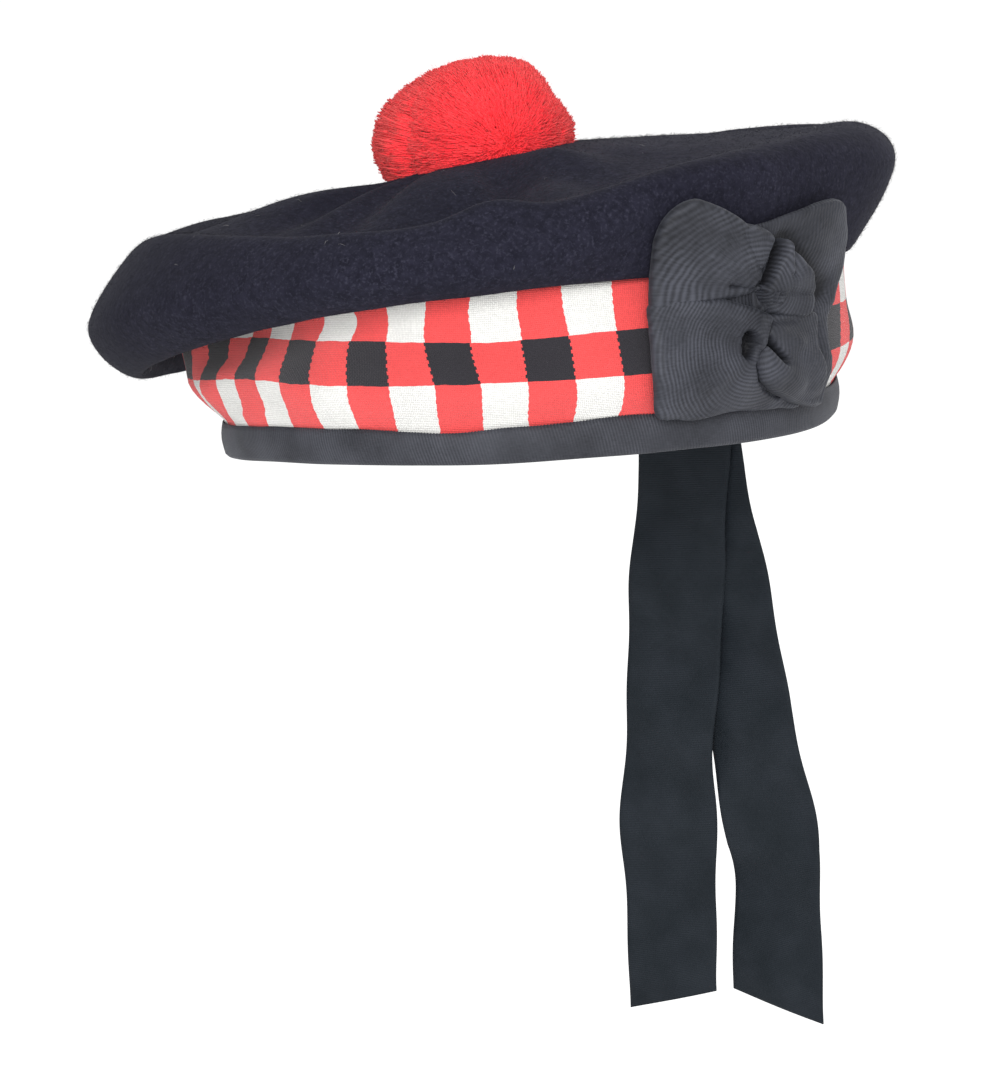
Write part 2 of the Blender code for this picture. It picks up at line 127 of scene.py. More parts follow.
# Crown
CROWN_WALL = 0.0020
CROWN_OVERHANG = 0.0247
CROWN_RISE = 0.0350
CROWN_TUCK = 0.0070
CROWN_SHIFT_X = -0.0115
CROWN_SHIFT_Y = -0.0062
TOP_RISE = 0.0314
TOP_TILT = 8.0
TOP_TILT_FALLS_TO = -60.0
TOP_SEAT_RADIUS = 0.0278
VALLEY_WAY = 0.25
VALLEY_CLIMB = 0.12
SHOULDER_WAY = 0.68
SHOULDER_CLIMB = 0.80
FOLDS_START = 0.1
FOLDS_END = 0.33
CROWN_AROUND = 640
CROWN_INSIDE_SHARE = 4

# Knots of the crown's sections, counted from the tucked neck, and the rows of points between them
OVER, LIP, RIDGE, SEAT, INNERMOST = 2, 3, 5, 8, 9
CROWN_ROWS = (3, 2, 4, 12, 14, 12, 14, 14, 8)

# Toorie
TOORIE_RADIUS = 0.0309
TOORIE_CENTRE = 0.0060
TOORIE_SHARE = 0.858
TOORIE_STRANDS = 13500
TOORIE_TUFTS = 420
TOORIE_HAIRS = 20000
TOORIE_SIDES = 3
TOORIE_LOW = -0.42
TOORIE_LOW_SIDE = -72.0
TOORIE_SINK = 0.0030
TOORIE_SINK_START = 0.012
TOORIE_SINK_SPAN = 0.014
YARN_RADII = (0.00018, 0.00024, 0.00018)
YARN_STEPS = (0.55, 0.82, 1.0)
YARN_FOCUS = (58.0, -10.0)
YARN_GATHER = 1.15
YARN_SWIRL = 0.10
YARN_STRAY = 0.03
YARN_SEED = 23
YARN_TWISTS = 900.0
TUFT_PULL = 0.28
TUFT_TINT = 0.45
PARTING_ANGLE = -22.0
PARTING_WIDTH = 0.10
FLUFF_LENGTHS = (0.0008, 0.0020)
FLUFF_SAG = 0.0002
FLUFF_WIDTH = 0.00007

# Bow over the left temple
BOW_ANGLE = 67.0
BOW_WIDTH = 0.0535
BOW_HEIGHT = 0.0602
BOW_FOOT = 0.0088
BOW_LEAN = 0.0093
BOW_CLOTH = 0.0005
BOW_RIB = 0.00102
BOW_COLUMN_COUNT = 88
BOW_LEVEL_COUNT = 56
KNOT_PLACE = (0.270, 0.540)
KNOT_HALF = (0.085, 0.052)
KNOT_STAND = (4.0, 4.6)
KNOT_STEPS = 48

# Ribbon tails at the centre back
TAIL_WIDTH = 0.0330
TAIL_LENGTH = 0.2120
TAIL_CLOTH = 0.0006
TAIL_SLANT = 0.0088
TAIL_CLING = 0.20
TAIL_CUP = 0.25
TAIL_CUT = 0.25
TAIL_WALL = 0.0010
TAIL_RIB = 0.0006
TAIL_LOW = 0.0024
TAIL_STEPS = 180
TAIL_COLUMN_COUNT = 22

# Dyes from dark to pale, as linear red, green and blue
WOOL_DYES = ((0.0057, 0.0057, 0.0108), (0.0116, 0.0114, 0.0202), (0.037, 0.037, 0.056))
FIBRE_DYES = ((0.0068, 0.0069, 0.0105), (0.0150, 0.0158, 0.0215))
# Painted shade on the wool: the colour it darkens towards on the wearer's right, the span of x over
# which it darkens, and the most of it taken
WOOL_PAINTED_SHADE = (0.0035, 0.0035, 0.0052)
WOOL_SHADE_SPAN = (-0.10, -0.015)
WOOL_SHADE_SHARE = 0.33
LINT_DYES = ((0.10, 0.10, 0.11), (0.22, 0.21, 0.21))
DICE_BLACK = (0.0145, 0.0130, 0.0175)
DICE_RED = (0.64, 0.056, 0.056)
DICE_WHITE = (0.612, 0.607, 0.586)
YARN_DYES = ((0.77, 0.020, 0.031), (0.88, 0.043, 0.055))
BINDING_DYES = ((0.0135, 0.0142, 0.0178), (0.0440, 0.0462, 0.0560))
BOW_DYES = ((0.0070, 0.0076, 0.0104), (0.0425, 0.0448, 0.0565))
TAIL_DYES = ((0.0050, 0.0076, 0.0102), (0.0140, 0.0176, 0.0228))
# Painted shade: the dark that the bow's dye is mixed towards in deep creases and shaded patches, and the
# most of it that is taken
PAINTED_SHADE_DYE = (0.002, 0.002, 0.003)
PAINTED_SHADE_SHARE = 0.85
PAPER_DYES = ((0.965, 0.965, 0.965), (0.975, 0.975, 0.975))

# Swell of the band out from its foot, as shares of BAND_SWELL, at the angles shown
BAND_TABLE = Table(
    "angle middle top",
    (-60, 1.75, 2.17),
    (-30, 1.26, 1.16),
    (0, 1.00, 0.72),
    (30, 0.98, 0.70),
    (60, 1.00, 0.77),
    (90, 0.90, 0.82),
    (120, 0.66, 0.30),
    (150, 0.95, 0.95),
    (180, 1.00, 0.93),
    (210, 1.08, 1.08),
    (240, 1.33, 1.47),
    (270, 1.63, 1.90),
)

# Sections of the crown, close to the solid's: "out" is a share of CROWN_OVERHANG, "rise" and "dent"
# are shares of CROWN_RISE
CROWN_TABLE = Table(
    "angle lip_out lip_rise edge_out edge_rise ridge_out ridge_rise dent",
    (-60, 0.46, -0.785, 1.10, -0.375, 0.44, 0.295, 0.00),
    (-30, 0.48, -0.46, 0.98, -0.10, 0.38, 0.42, 0.06),
    (0, 0.42, -0.16, 0.76, 0.10, 0.36, 0.47, 0.12),
    (30, 0.34, -0.02, 0.64, 0.22, 0.30, 0.58, 0.18),
    (60, 0.10, 0.05, 0.38, 0.66, 0.16, 0.88, 0.08),
    (90, 0.07, 0.05, 0.48, 0.68, 0.17, 0.985, 0.02),
    (120, 0.17, 0.05, 0.685, 0.72, 0.29, 1.04, 0.02),
    (150, 0.16, 0.00, 0.66, 0.58, 0.34, 1.00, 0.04),
    (180, 0.40, -0.10, 0.86, 0.40, 0.36, 0.91, 0.05),
    (210, 0.46, -0.24, 0.96, 0.22, 0.34, 0.76, 0.03),
    (240, 0.46, -0.54, 1.02, -0.06, 0.36, 0.58, 0.02),
    (270, 0.50, -0.84, 1.08, -0.32, 0.40, 0.42, 0.00),
)

# Folds pressed into the crown's top: the angle, the way in from ridge (0) to seat (1), half
# width in degrees, half length on that way, and depth as a share of CROWN_RISE
FOLD_TABLE = Table(
    "angle way_in half_width half_length depth",
    (-8, 0.62, 8, 0.30, 0.17),
    (-26, 0.66, 7, 0.26, 0.15),
    (-62, 0.42, 12, 0.28, -0.03),
    (14, 0.36, 10, 0.22, 0.07),
    (26, 0.12, 7, 0.13, -0.16),
    (38, 0.34, 7, 0.16, -0.18),
    (50, 0.60, 8, 0.22, -0.11),
    (22, 0.40, 6, 0.14, 0.14),
    (33, 0.62, 6, 0.16, 0.14),
    (-72, 0.90, 34, 0.34, 0.10),
    (250, 0.88, 24, 0.32, 0.09),
    (-46, 0.30, 14, 0.40, -0.08),
    (140, 0.30, 13, 0.30, 0.08),
    (196, 0.26, 15, 0.34, 0.07),
    (248, 0.34, 16, 0.34, 0.06),
)

# Waves along the crown's outer edge, depth as a share of CROWN_OVERHANG
WAVE_TABLE = Table(
    "count phase depth",
    (7, 20, 0.035),
    (11, 75, 0.025),
)

# Dents and swells of the band: angle, height as a share of the dicing's height, half width in
# degrees, half height as a share, lean in degrees for each share of height, then the way out,
# the slip towards the wearer's left and the lift in millimetres
BUCKLE_TABLE = Table(
    "angle height half_width half_height lean out slip lift",
    (-33, 0.76, 22, 0.30, 0, -10, 0, 0),
    (-28, 0.34, 19, 0.18, 0, -1.2, 0, 1.2),
    (-66, 0.45, 10, 0.42, 0, 2, 0, 0),
    (-24, 0.03, 16, 0.09, 0, 1.2, 0, 0),
    (-22, 0.15, 7, 0.12, 16, -1.4, 0, 0),
    (-34, 0.06, 6, 0.08, 10, 1, 0, 0),
    (-44, 0.20, 5, 0.13, 18, 1.2, 0, 0),
    (-53, 0.22, 4, 0.14, 14, -1, 0, 0),
    (-36, 0.17, 17, 0.17, 0, -2.2, 1.2, 0),
    (-40, 0.50, 12, 0.09, 0, -2, 1, 0),
    (-7, 0.82, 12, 0.13, 0, 0, 4.2, 0),
    (18, 0.74, 10, 0.28, 0, 0.5, -1.9, 0),
    (25, 0.67, 12, 0.16, 0, 0, 0, -1.3),
    (36, 0.95, 8, 0.24, 0, 0, -1.7, 0),
    (14, 0.30, 13, 0.20, 0, 0, 1, 0),
    (45, 0.20, 14, 0.45, 0, 0.3, 1.1, 0),
    (30, 0.25, 10, 0.25, 0, -0.4, 0, 0),
    (98, 0.70, 14, 0.30, 0, 0.6, 1.5, 0),
    (107, 0.68, 10, 0.32, 0, 0, 3, 0),
    (107, 0.14, 10, 0.16, 0, 0, -1.2, 0),
    (114, 0.42, 18, 0.36, 0, 1.6, 0, 0),
    (165, 0.40, 13, 0.30, 0, -0.5, 0, 0),
    (210, 0.50, 15, 0.30, 0, 0.6, 0.6, 0),
    (250, 0.60, 14, 0.30, 12, -0.8, 0, 0),
)

# Where the rim leaves its oval: angle, half width in degrees, way out and lift in millimetres,
# and the further lift of the binding's upper edge
RIM_TABLE = Table(
    "angle half_width out lift edge",
    (-62, 24, 0.2, -3.3, 0),
    (-34, 18, 0.5, -0.3, 0),
    (14, 9, 0, 0, -1.1),
    (47, 9, 0, 0, 0.9),
    (80, 20, 0, -1, 0.3),
    (116, 22, -2.5, 0, 0),
    (180, 40, 0, 0.4, 0),
)

# Relief of the crown's wool: the size of its bumps, the noise that gives them and their height
RELIEF_TABLE = Table(
    "size seed height",
    (0.026, 1, 0.00055),
    (0.011, 2, 0.00016),
)

# Hairs on the wool: how many, their length, how far they stand up and their width
HAIR_TABLE = Table(
    "name count length lift width",
    ("crown_fibres", 42000, 0.0017, 0.60, 0.000050),
    ("crown_lint", 70, 0.0030, 0.30, 0.000110),
)
HAIR_POINTS = 5
HAIR_ROOT = 0.00005
HAIR_SEED = 11

# Where the ball of yarn swells out or is pressed in: the angle round, the climb and the half
# width in degrees, and the amount as a share of its radius
YARN_TABLE = Table(
    "around climb half_width amount",
    (-60, -4, 30, 0.155),
    (-60, 62, 36, -0.115),
    (120, 84, 30, -0.09),
    (120, -2, 16, 0.08),
    (120, 26, 18, -0.045),
    (30, 10, 40, 0.02),
)

# Courses of the tails below the rim: the drop as a share of TAIL_LENGTH, the sideways drift
# and the way out from the back of the binding as shares of TAIL_WIDTH
TAIL_COLUMNS = "drop drift out"
LEFT_TAIL_TABLE = Table(
    TAIL_COLUMNS,
    (0.00, 0.00, 0.00),
    (0.05, 0.01, 0.00),
    (0.25, 0.16, 0.03),
    (0.52, 0.43, 0.12),
    (0.75, 0.57, 0.27),
    (0.86, 0.56, 0.33),
    (1.00, 0.555, 0.29),
)
RIGHT_TAIL_TABLE = Table(
    TAIL_COLUMNS,
    (0.00, 0.00, 0.00),
    (0.05, -0.01, 0.00),
    (0.25, -0.15, 0.02),
    (0.50, -0.36, 0.09),
    (0.75, -0.53, 0.20),
    (1.00, -0.56, 0.22),
)

# Ripples of a hanging tail: their height and how their phase grows down and across the ribbon
RIPPLE_TABLE = Table(
    "height down across by_layer",
    (0.0016, 17.0, 2.4, 1),
    (0.0010, 31.0, -3.0, 0),
)

# The panel behind the bows and the lobes of the two bows, each spread round its own pinch: the
# turn in degrees from the wearer's left upwards, and there the reach from the pinch and the
# ribbon's distance from the foot of the bow, both in millimetres
LOBE_COLUMNS = "turn reach stand"
PANEL_MIDDLE = (3.0, 28.0)
UPPER_PINCH = (3.0, 34.0)
LOWER_PINCH = (1.6, 19.0)
PANEL_TABLE = Table(
    LOBE_COLUMNS,
    (-41, 44.9, 1.8),
    (-36, 40.8, 2.0),
    (-31, 35.2, 2.1),
    (-24, 30.6, 2.3),
    (-14, 29.0, 2.4),
    (-7, 29.4, 2.6),
    (-1, 31.8, 3.0),
    (7, 33.2, 3.6),
    (16, 35.3, 4.2),
    (28, 36.9, 4.4),
    (39, 37.5, 4.4),
    (46, 37.9, 4.4),
    (51, 36.9, 4.2),
    (57, 34.1, 3.6),
    (67, 29.3, 3.0),
    (77, 26.4, 2.6),
    (89, 24.4, 2.2),
    (103, 25.1, 1.6),
    (119, 33.4, 1.6),
    (127, 37.0, 1.6),
    (135, 37.6, 1.6),
    (145, 35.2, 1.4),
    (159, 31.0, 1.4),
    (183, 28.8, 1.4),
    (205, 32.3, 1.4),
    (222, 36.1, 1.4),
    (252, 27.7, 1.4),
    (288, 29.0, 1.5),
    (305, 33.3, 1.6),
    (319, 44.9, 1.8),
)
UPPER_LEFT_TABLE = Table(
    LOBE_COLUMNS,
    (75, 12.6, 5.6),
    (87, 15.2, 5.8),
    (101, 17.8, 6.2),
    (114, 20.7, 6.4),
    (122, 26.4, 6.4),
    (127, 31.5, 6.2),
    (130, 34.5, 6.0),
    (135, 36.1, 5.8),
    (142, 36.5, 5.6),
    (150, 35.4, 5.4),
    (160, 33.1, 5.4),
    (170, 31.7, 5.6),
    (182, 31.2, 5.4),
    (188, 31.2, 4.8),
)
UPPER_RIGHT_TABLE = Table(
    LOBE_COLUMNS,
    (-72, 6.6, 5.4),
    (-56, 8.6, 6.6),
    (-40, 12.4, 7.4),
    (-29, 17.2, 7.8),
    (-18, 17.5, 8.2),
    (-6, 16.9, 8.6),
    (7, 15.6, 8.8),
    (28, 13.7, 8.8),
    (52, 13.0, 8.4),
    (68, 14.2, 8.0),
    (74, 14.0, 7.0),
)
LOWER_LEFT_TABLE = Table(
    LOBE_COLUMNS,
    (60, 8.1, 5.4),
    (91, 9.9, 6.2),
    (115, 12.9, 6.2),
    (140, 21.2, 5.8),
    (150, 28.9, 5.6),
    (155, 32.9, 5.2),
    (165, 31.0, 5.2),
    (176, 30.0, 5.2),
    (188, 30.3, 5.2),
    (200, 31.2, 5.2),
    (213, 32.1, 5.0),
    (220, 28.1, 4.8),
    (243, 20.5, 4.6),
    (264, 17.9, 4.0),
    (283, 18.8, 3.4),
    (305, 22.9, 3.2),
    (320, 29.6, 2.8),
)
LOWER_RIGHT_TABLE = Table(
    LOBE_COLUMNS,
    (-100, 5.4, 5.2),
    (-83, 9.5, 6.2),
    (-71, 12.7, 6.6),
    (-54, 18.9, 6.6),
    (-43, 26.9, 6.4),
    (-35, 33.4, 6.0),
    (-29, 28.6, 6.0),
    (-9, 20.5, 6.0),
    (8, 20.8, 6.0),
    (18, 21.4, 6.2),
    (34, 13.6, 6.6),
    (52, 10.0, 6.4),
    (66, 8.6, 5.4),
)

# Creases pressed into the bow (depth below 0) or standing out of it, in millimetres: a line from
# one place to another, its half width, its depth and how steep its sides are
CREASE_COLUMNS = "x0 y0 x1 y1 half depth steep"
PANEL_CREASES = Table(
    CREASE_COLUMNS,
    (10, 47, 28, 32, 3.6, -3.6, 2),
    (24, 31, 27, 3, 2.4, -1.2, 2),
    (-1.5, 22.4, -2.6, 17.6, 3, -1.4, 6),
)
UPPER_LEFT_CREASES = Table(
    CREASE_COLUMNS,
    (2.4, 36.6, 5.4, 46, 1.5, -7, 4),
    (-26, 40, -6, 36, 2.6, -0.9, 2),
    (-14, 45, 2, 37, 1.4, 0.8, 2),
    (-12, 56, -2, 44, 2.2, 0.7, 2),
    (-6, 50, 1, 40, 1, -1.1, 2),
    (-2.1, 39.8, -1, 38.6, 1.3, -1.3, 2),
    (-6.8, 36.2, 1.8, 34.4, 0.8, -1.2, 2),
)
UPPER_RIGHT_CREASES = Table(
    CREASE_COLUMNS,
    (3.2, 36.6, 5.8, 46, 1.4, -8, 4),
    (7.2, 47, 8.9, 39, 0.9, 1.1, 2),
    (9.5, 45, 10.8, 38, 1.2, -1.2, 2),
    (10, 33, 18, 31.5, 1.1, -1, 2),
    (13, 37, 17, 38, 2.2, 0.6, 2),
)
LOWER_LEFT_CREASES = Table(
    CREASE_COLUMNS,
    (-1.7, 21.6, -2.7, 17.3, 2, -9, 6),
    (3.4, 26.5, 1.2, 19, 1, 2, 2),
    (-14, 30, -4, 27, 2.2, 0.7, 2),
    (-10, 12, -4, 15.5, 2.6, 0.7, 2),
    (0.5, 13.6, 2.5, 9.6, 0.8, -3.2, 2),
    (2.5, 9.6, 5.4, 6.9, 0.8, -3, 2),
    (5.4, 6.9, 12.4, 3.5, 0.8, -3, 2),
    (-22, 24, -8, 20, 3, -0.6, 2),
)
LOWER_RIGHT_CREASES = Table(
    CREASE_COLUMNS,
    (3.2, 20.3, 8.4, 14, 1.2, -9, 4),
    (4.5, 23.5, 14, 18.5, 1.9, 0.8, 2),
    (4, 25, 12, 24.5, 1, -0.8, 2),
    (3.5, 13, 16, 6.5, 2, 0.7, 2),
    (14, 15, 20, 6, 2.4, -0.7, 2),
)

# The bow's ribbons, from the back to the front: the noise of their crumples, how far out they
# start and how wide their curled edge is in millimetres, the shares of the stand that the curl
# and the gathers take away, and how far the ribs run straight instead of round the pinch
RIBBON_TABLE = Table(
    "name node outline creases pinch seed back curl_width curl gather straight",
    ("bow_backing_ribbon", "bow_backing", PANEL_TABLE, PANEL_CREASES, PANEL_MIDDLE,
     18, 1.0, 0.8, 0.5, 0.0, 1.0),
    ("bow_upper_left", "bow_upper_loops", UPPER_LEFT_TABLE, UPPER_LEFT_CREASES, UPPER_PINCH,
     14, 2.0, 2.2, 0.8, 0.25, 0.25),
    ("bow_upper_right", None, UPPER_RIGHT_TABLE, UPPER_RIGHT_CREASES, UPPER_PINCH,
     15, 1.6, 1.8, 0.85, 0.25, 0.2),
    ("bow_lower_left", "bow_lower_loops", LOWER_LEFT_TABLE, LOWER_LEFT_CREASES, LOWER_PINCH,
     14, 2.2, 2.2, 0.85, 0.0, 0.0),
    ("bow_lower_right", None, LOWER_RIGHT_TABLE, LOWER_RIGHT_CREASES, LOWER_PINCH,
     15, 2.2, 1.3, 0.75, 0.1, 0.3),
)

# On the bow, in millimetres: how far the gathers reach from the pinch, how the ribs sway, how deep
# a crease is where its painted shade begins and over what depth that shade deepens, and the crumples
GATHER_REACH = 9.0
RIB_SWAY = 0.6
PAINTED_SHADE_START = 0.6
PAINTED_SHADE_SPAN = 2.0
CRUMPLE_TABLE = Table(
    "size height",
    (5.0, 0.30),
    (2.2, 0.10),
)

# Painted shade on the bow: darker patches on two lobes and the puff's cast shadow on the panel, in
# millimetres like the lobes, and the share of the dye that is lost
PAINTED_SHADE_TABLE = Table(
    "x y half amount",
    (-21, 56, 10, 0.42),
    (15, 22, 9, 0.32),
    (14, 48, 5, 0.30),
    (21, 40, 6, 0.34),
)

# Camera, light and stage
CAMERA_TURN = 30.0
CAMERA_CLIMB = 4.38
CAMERA_ROLL = 2.95
CAMERA_AWAY = 1.0815
AIM_HEIGHT = 0.0324
IMAGE_SIZE = (1000, 1070)
AIM_PIXEL = (531.0, 317.4)
FOCAL_PIXELS = 3638.0
SENSOR = 36.0
FLOOR_HALF = 60.0
FLOOR_LEVEL = -0.26
SKY_STRENGTH = 1.06
LIGHT_AIM = (0.0, 0.0, 0.04)
LIGHT_TABLE = Table(
    "name place size power",
    ("key", (0.80, -1.52, 0.50), 0.9, 34.0),
    ("back", (0.4, 1.8, 0.9), 1.2, 9.0),
)

BAND_FOOT = BINDING_WALL + CLEARANCE
BAND_TOP = BINDING_HEIGHT + DICE_ROWS * DICE_ROW_HEIGHT + BAND_TURN_UP
SEAT_RISE = BAND_TOP + TOP_RISE
CROWN_MIDDLE = np.array([CROWN_SHIFT_X, CROWN_SHIFT_Y, SEAT_RISE])


# Numbers along curves


def smooth(t):
    """An ease from 0 to 1."""
    t = np.clip(t, 0.0, 1.0)
    return t * t * (3.0 - 2.0 * t)


def bell(apart, half):
    """A bell curve, 1 where nothing lies apart."""
    return np.exp(-((apart / half) ** 2))


def turn_between(angles, middle):
    """Degrees from the middle angle, from -180 to 180."""
    return (angles - middle + 180.0) % 360.0 - 180.0


def unit(vectors):
    """Vectors made one long."""
    return vectors / np.maximum(np.linalg.norm(vectors, axis=-1, keepdims=True), 1e-12)


def travelled(steps):
    """The way covered before each step and after the last."""
    return np.concatenate([np.zeros(steps.shape[:-1] + (1,)), np.cumsum(steps, -1)], -1)


def direction(angles):
    """Unit vectors pointing out from the middle at angles round the bonnet."""
    turns = np.radians(angles)
    return np.stack([np.sin(turns), -np.cos(turns), np.zeros_like(turns)], -1)


def oval(angles, out, heights):
    """Points on the oval of the rim, moved out along its normal, at heights."""
    turns = np.radians(angles)
    half_width, half_length = RIM_WIDTH / 2, RIM_LENGTH / 2
    normal = np.stack([np.sin(turns) / half_width, -np.cos(turns) / half_length], -1)
    normal /= np.linalg.norm(normal, axis=-1, keepdims=True)
    flat = np.stack([half_width * np.sin(turns), -half_length * np.cos(turns)], -1)
    flat = flat + normal * np.asarray(out)[..., None]
    lifted = np.broadcast_to(np.asarray(heights)[..., None], flat.shape[:-1] + (1,))
    return np.concatenate([flat, lifted], -1)


def band_out(angles, heights):
    """How far the band's outside stands out from the oval of the rim at heights."""
    shape = np.broadcast(angles, heights).shape
    row = BAND_TABLE.around(np.broadcast_to(angles, shape).ravel())
    middle, top = row.middle.reshape(shape), row.top.reshape(shape)
    middle_height = BINDING_HEIGHT + DICE_ROW_HEIGHT
    rise = np.clip((heights - BINDING_HEIGHT) / DICE_ROW_HEIGHT, 0.0, 1.0)
    low = middle * np.sin(rise * math.pi / 2)
    high = smooth((heights - middle_height) / DICE_ROW_HEIGHT)
    return BAND_SWELL * (low + (top - middle) * high)


def rough(points, scale, seed):
    """Smooth noise at points, about -1 to 1, with bumps about as wide as the scale."""
    flat = points.reshape(-1, 3) / scale + seed * 17.3
    values = np.array([noise.noise(Vector(p)) for p in flat.tolist()])
    return values.reshape(points.shape[:-1])


# Meshes


def fill_mesh(name, points, faces, uv=None):
    """A mesh from arrays: points, faces as a list of equal-sided arrays, and corner UVs."""
    sides = np.concatenate([np.full(len(f), f.shape[1]) for f in faces])
    corners = np.concatenate([f.ravel() for f in faces]).astype(np.int32)
    mesh = bpy.data.meshes.new(name)
    mesh.vertices.add(len(points))
    mesh.vertices.foreach_set("co", np.asarray(points, np.float32).ravel())
    mesh.loops.add(len(corners))
    mesh.loops.foreach_set("vertex_index", corners)
    mesh.polygons.add(len(sides))
    starts = np.concatenate([[0], np.cumsum(sides)[:-1]]).astype(np.int32)
    mesh.polygons.foreach_set("loop_start", starts)
    mesh.update(calc_edges=True)
    if uv is not None:
        layer = mesh.uv_layers.new(name="cloth")
        layer.data.foreach_set("uv", np.asarray(uv, np.float32).ravel())
    mesh.shade_smooth()
    mesh.validate()
    return mesh


def grid_faces(rows, count, closed):
    """Faces and the corners of their UV grid for rows of points."""
    spans = count if closed else count - 1
    r, i = np.meshgrid(np.arange(rows - 1), np.arange(spans), indexing="ij")
    r, i = r.ravel(), i.ravel()
    j = (i + 1) % count
    faces = np.stack([r * count + i, r * count + j, (r + 1) * count + j, (r + 1) * count + i], 1)
    wide = spans + 1
    cells = np.stack([r * wide + i, r * wide + i + 1, (r + 1) * wide + i + 1, (r + 1) * wide + i], 1)
    return faces, cells


def grid_object(name, points, u, v, material, closed=False):
    """An object with a sheet of quads through rows of points, and its cloth coordinates."""
    rows, count = points.shape[:2]
    faces, cells = grid_faces(rows, count, closed)
    uv = np.stack(np.broadcast_arrays(u, v), -1).reshape(-1, 2)
    return add_object(name, fill_mesh(name, points.reshape(-1, 3), [faces], uv[cells.ravel()]), material)


def link_object(name, data):
    """An object with its data, linked to the scene."""
    obj = bpy.data.objects.new(name, data)
    bpy.context.scene.collection.objects.link(obj)
    return obj


def add_object(name, mesh, material):
    """A mesh as a piece that rides on the one body."""
    mesh.materials.append(material)
    obj = link_object(name, mesh)
    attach(obj, "root")
    return obj


def give_share(mesh, name, values):
    """Writes a share from 0 to 1 at each point, for the material to read."""
    layer = mesh.attributes.new(name, "FLOAT", "POINT")
    layer.data.foreach_set("value", np.asarray(values, np.float32).ravel())


def add_wall(obj, thickness, offset, even=False):
    """Gives an open surface its thickness. Offset -1 puts the wall behind the surface."""
    wall = obj.modifiers.new("wall", "SOLIDIFY")
    wall.thickness = thickness
    wall.offset = offset
    wall.use_even_offset = even
    wall.use_quality_normals = True


def grid_normals(points):
    """Unit normals of a closed grid, outwards where rows climb and columns turn leftwards."""
    across = np.roll(points, -1, axis=1) - np.roll(points, 1, axis=1)
    return unit(np.cross(across, np.gradient(points, axis=0)))


def strands_mesh(name, paths, radii, sides, generator):
    """Closed tubes along many paths at once. UV: round the tube, and metres along it."""
    count, steps = paths.shape[:2]
    along = unit(np.gradient(paths, axis=1))
    side = unit(np.cross(along, generator.normal(size=(count, 1, 3))))
    other = np.cross(along, side)
    turns = 2 * math.pi * np.arange(sides) / sides
    ring = side[:, :, None] * np.cos(turns)[:, None] + other[:, :, None] * np.sin(turns)[:, None]
    points = paths[:, :, None] + ring * radii[:, :, None, None]
    faces, cells = grid_faces(steps, sides, True)
    first = np.arange(count)[:, None] * steps * sides
    quads = (first[:, None] + faces).reshape(-1, 4)
    starts = first + np.arange(sides)[::-1]
    ends = first + (steps - 1) * sides + np.arange(sides)
    run = travelled(np.linalg.norm(np.diff(paths, axis=1), axis=-1))
    uv = np.stack(np.broadcast_arrays(np.arange(sides + 1) / sides, run[..., None]), -1)
    uv = uv.reshape(count, -1, 2)[:, cells.ravel()].reshape(-1, 2)
    caps = np.zeros((2 * count * sides, 2))
    return fill_mesh(name, points.reshape(-1, 3), [quads, starts, ends], np.concatenate([uv, caps]))


def hair_mesh(name, roots, tips, sag, width, generator):
    """Fine hairs as narrow pointed strips, each bent by its own sag."""
    count = len(roots)
    along = unit(tips - roots)
    side = unit(np.cross(along, generator.normal(size=(count, 3)))) * width / 2
    middle = (roots + tips) / 2 + sag
    points = np.stack([roots - side, roots + side, middle + side * 0.8, middle - side * 0.8, tips], 1)
    first = np.arange(count)[:, None] * HAIR_POINTS
    quads = first + np.array([0, 1, 2, 3])
    ends = first + np.array([3, 2, 4])
    return fill_mesh(name, points.reshape(-1, 3), [quads, ends])


# Materials


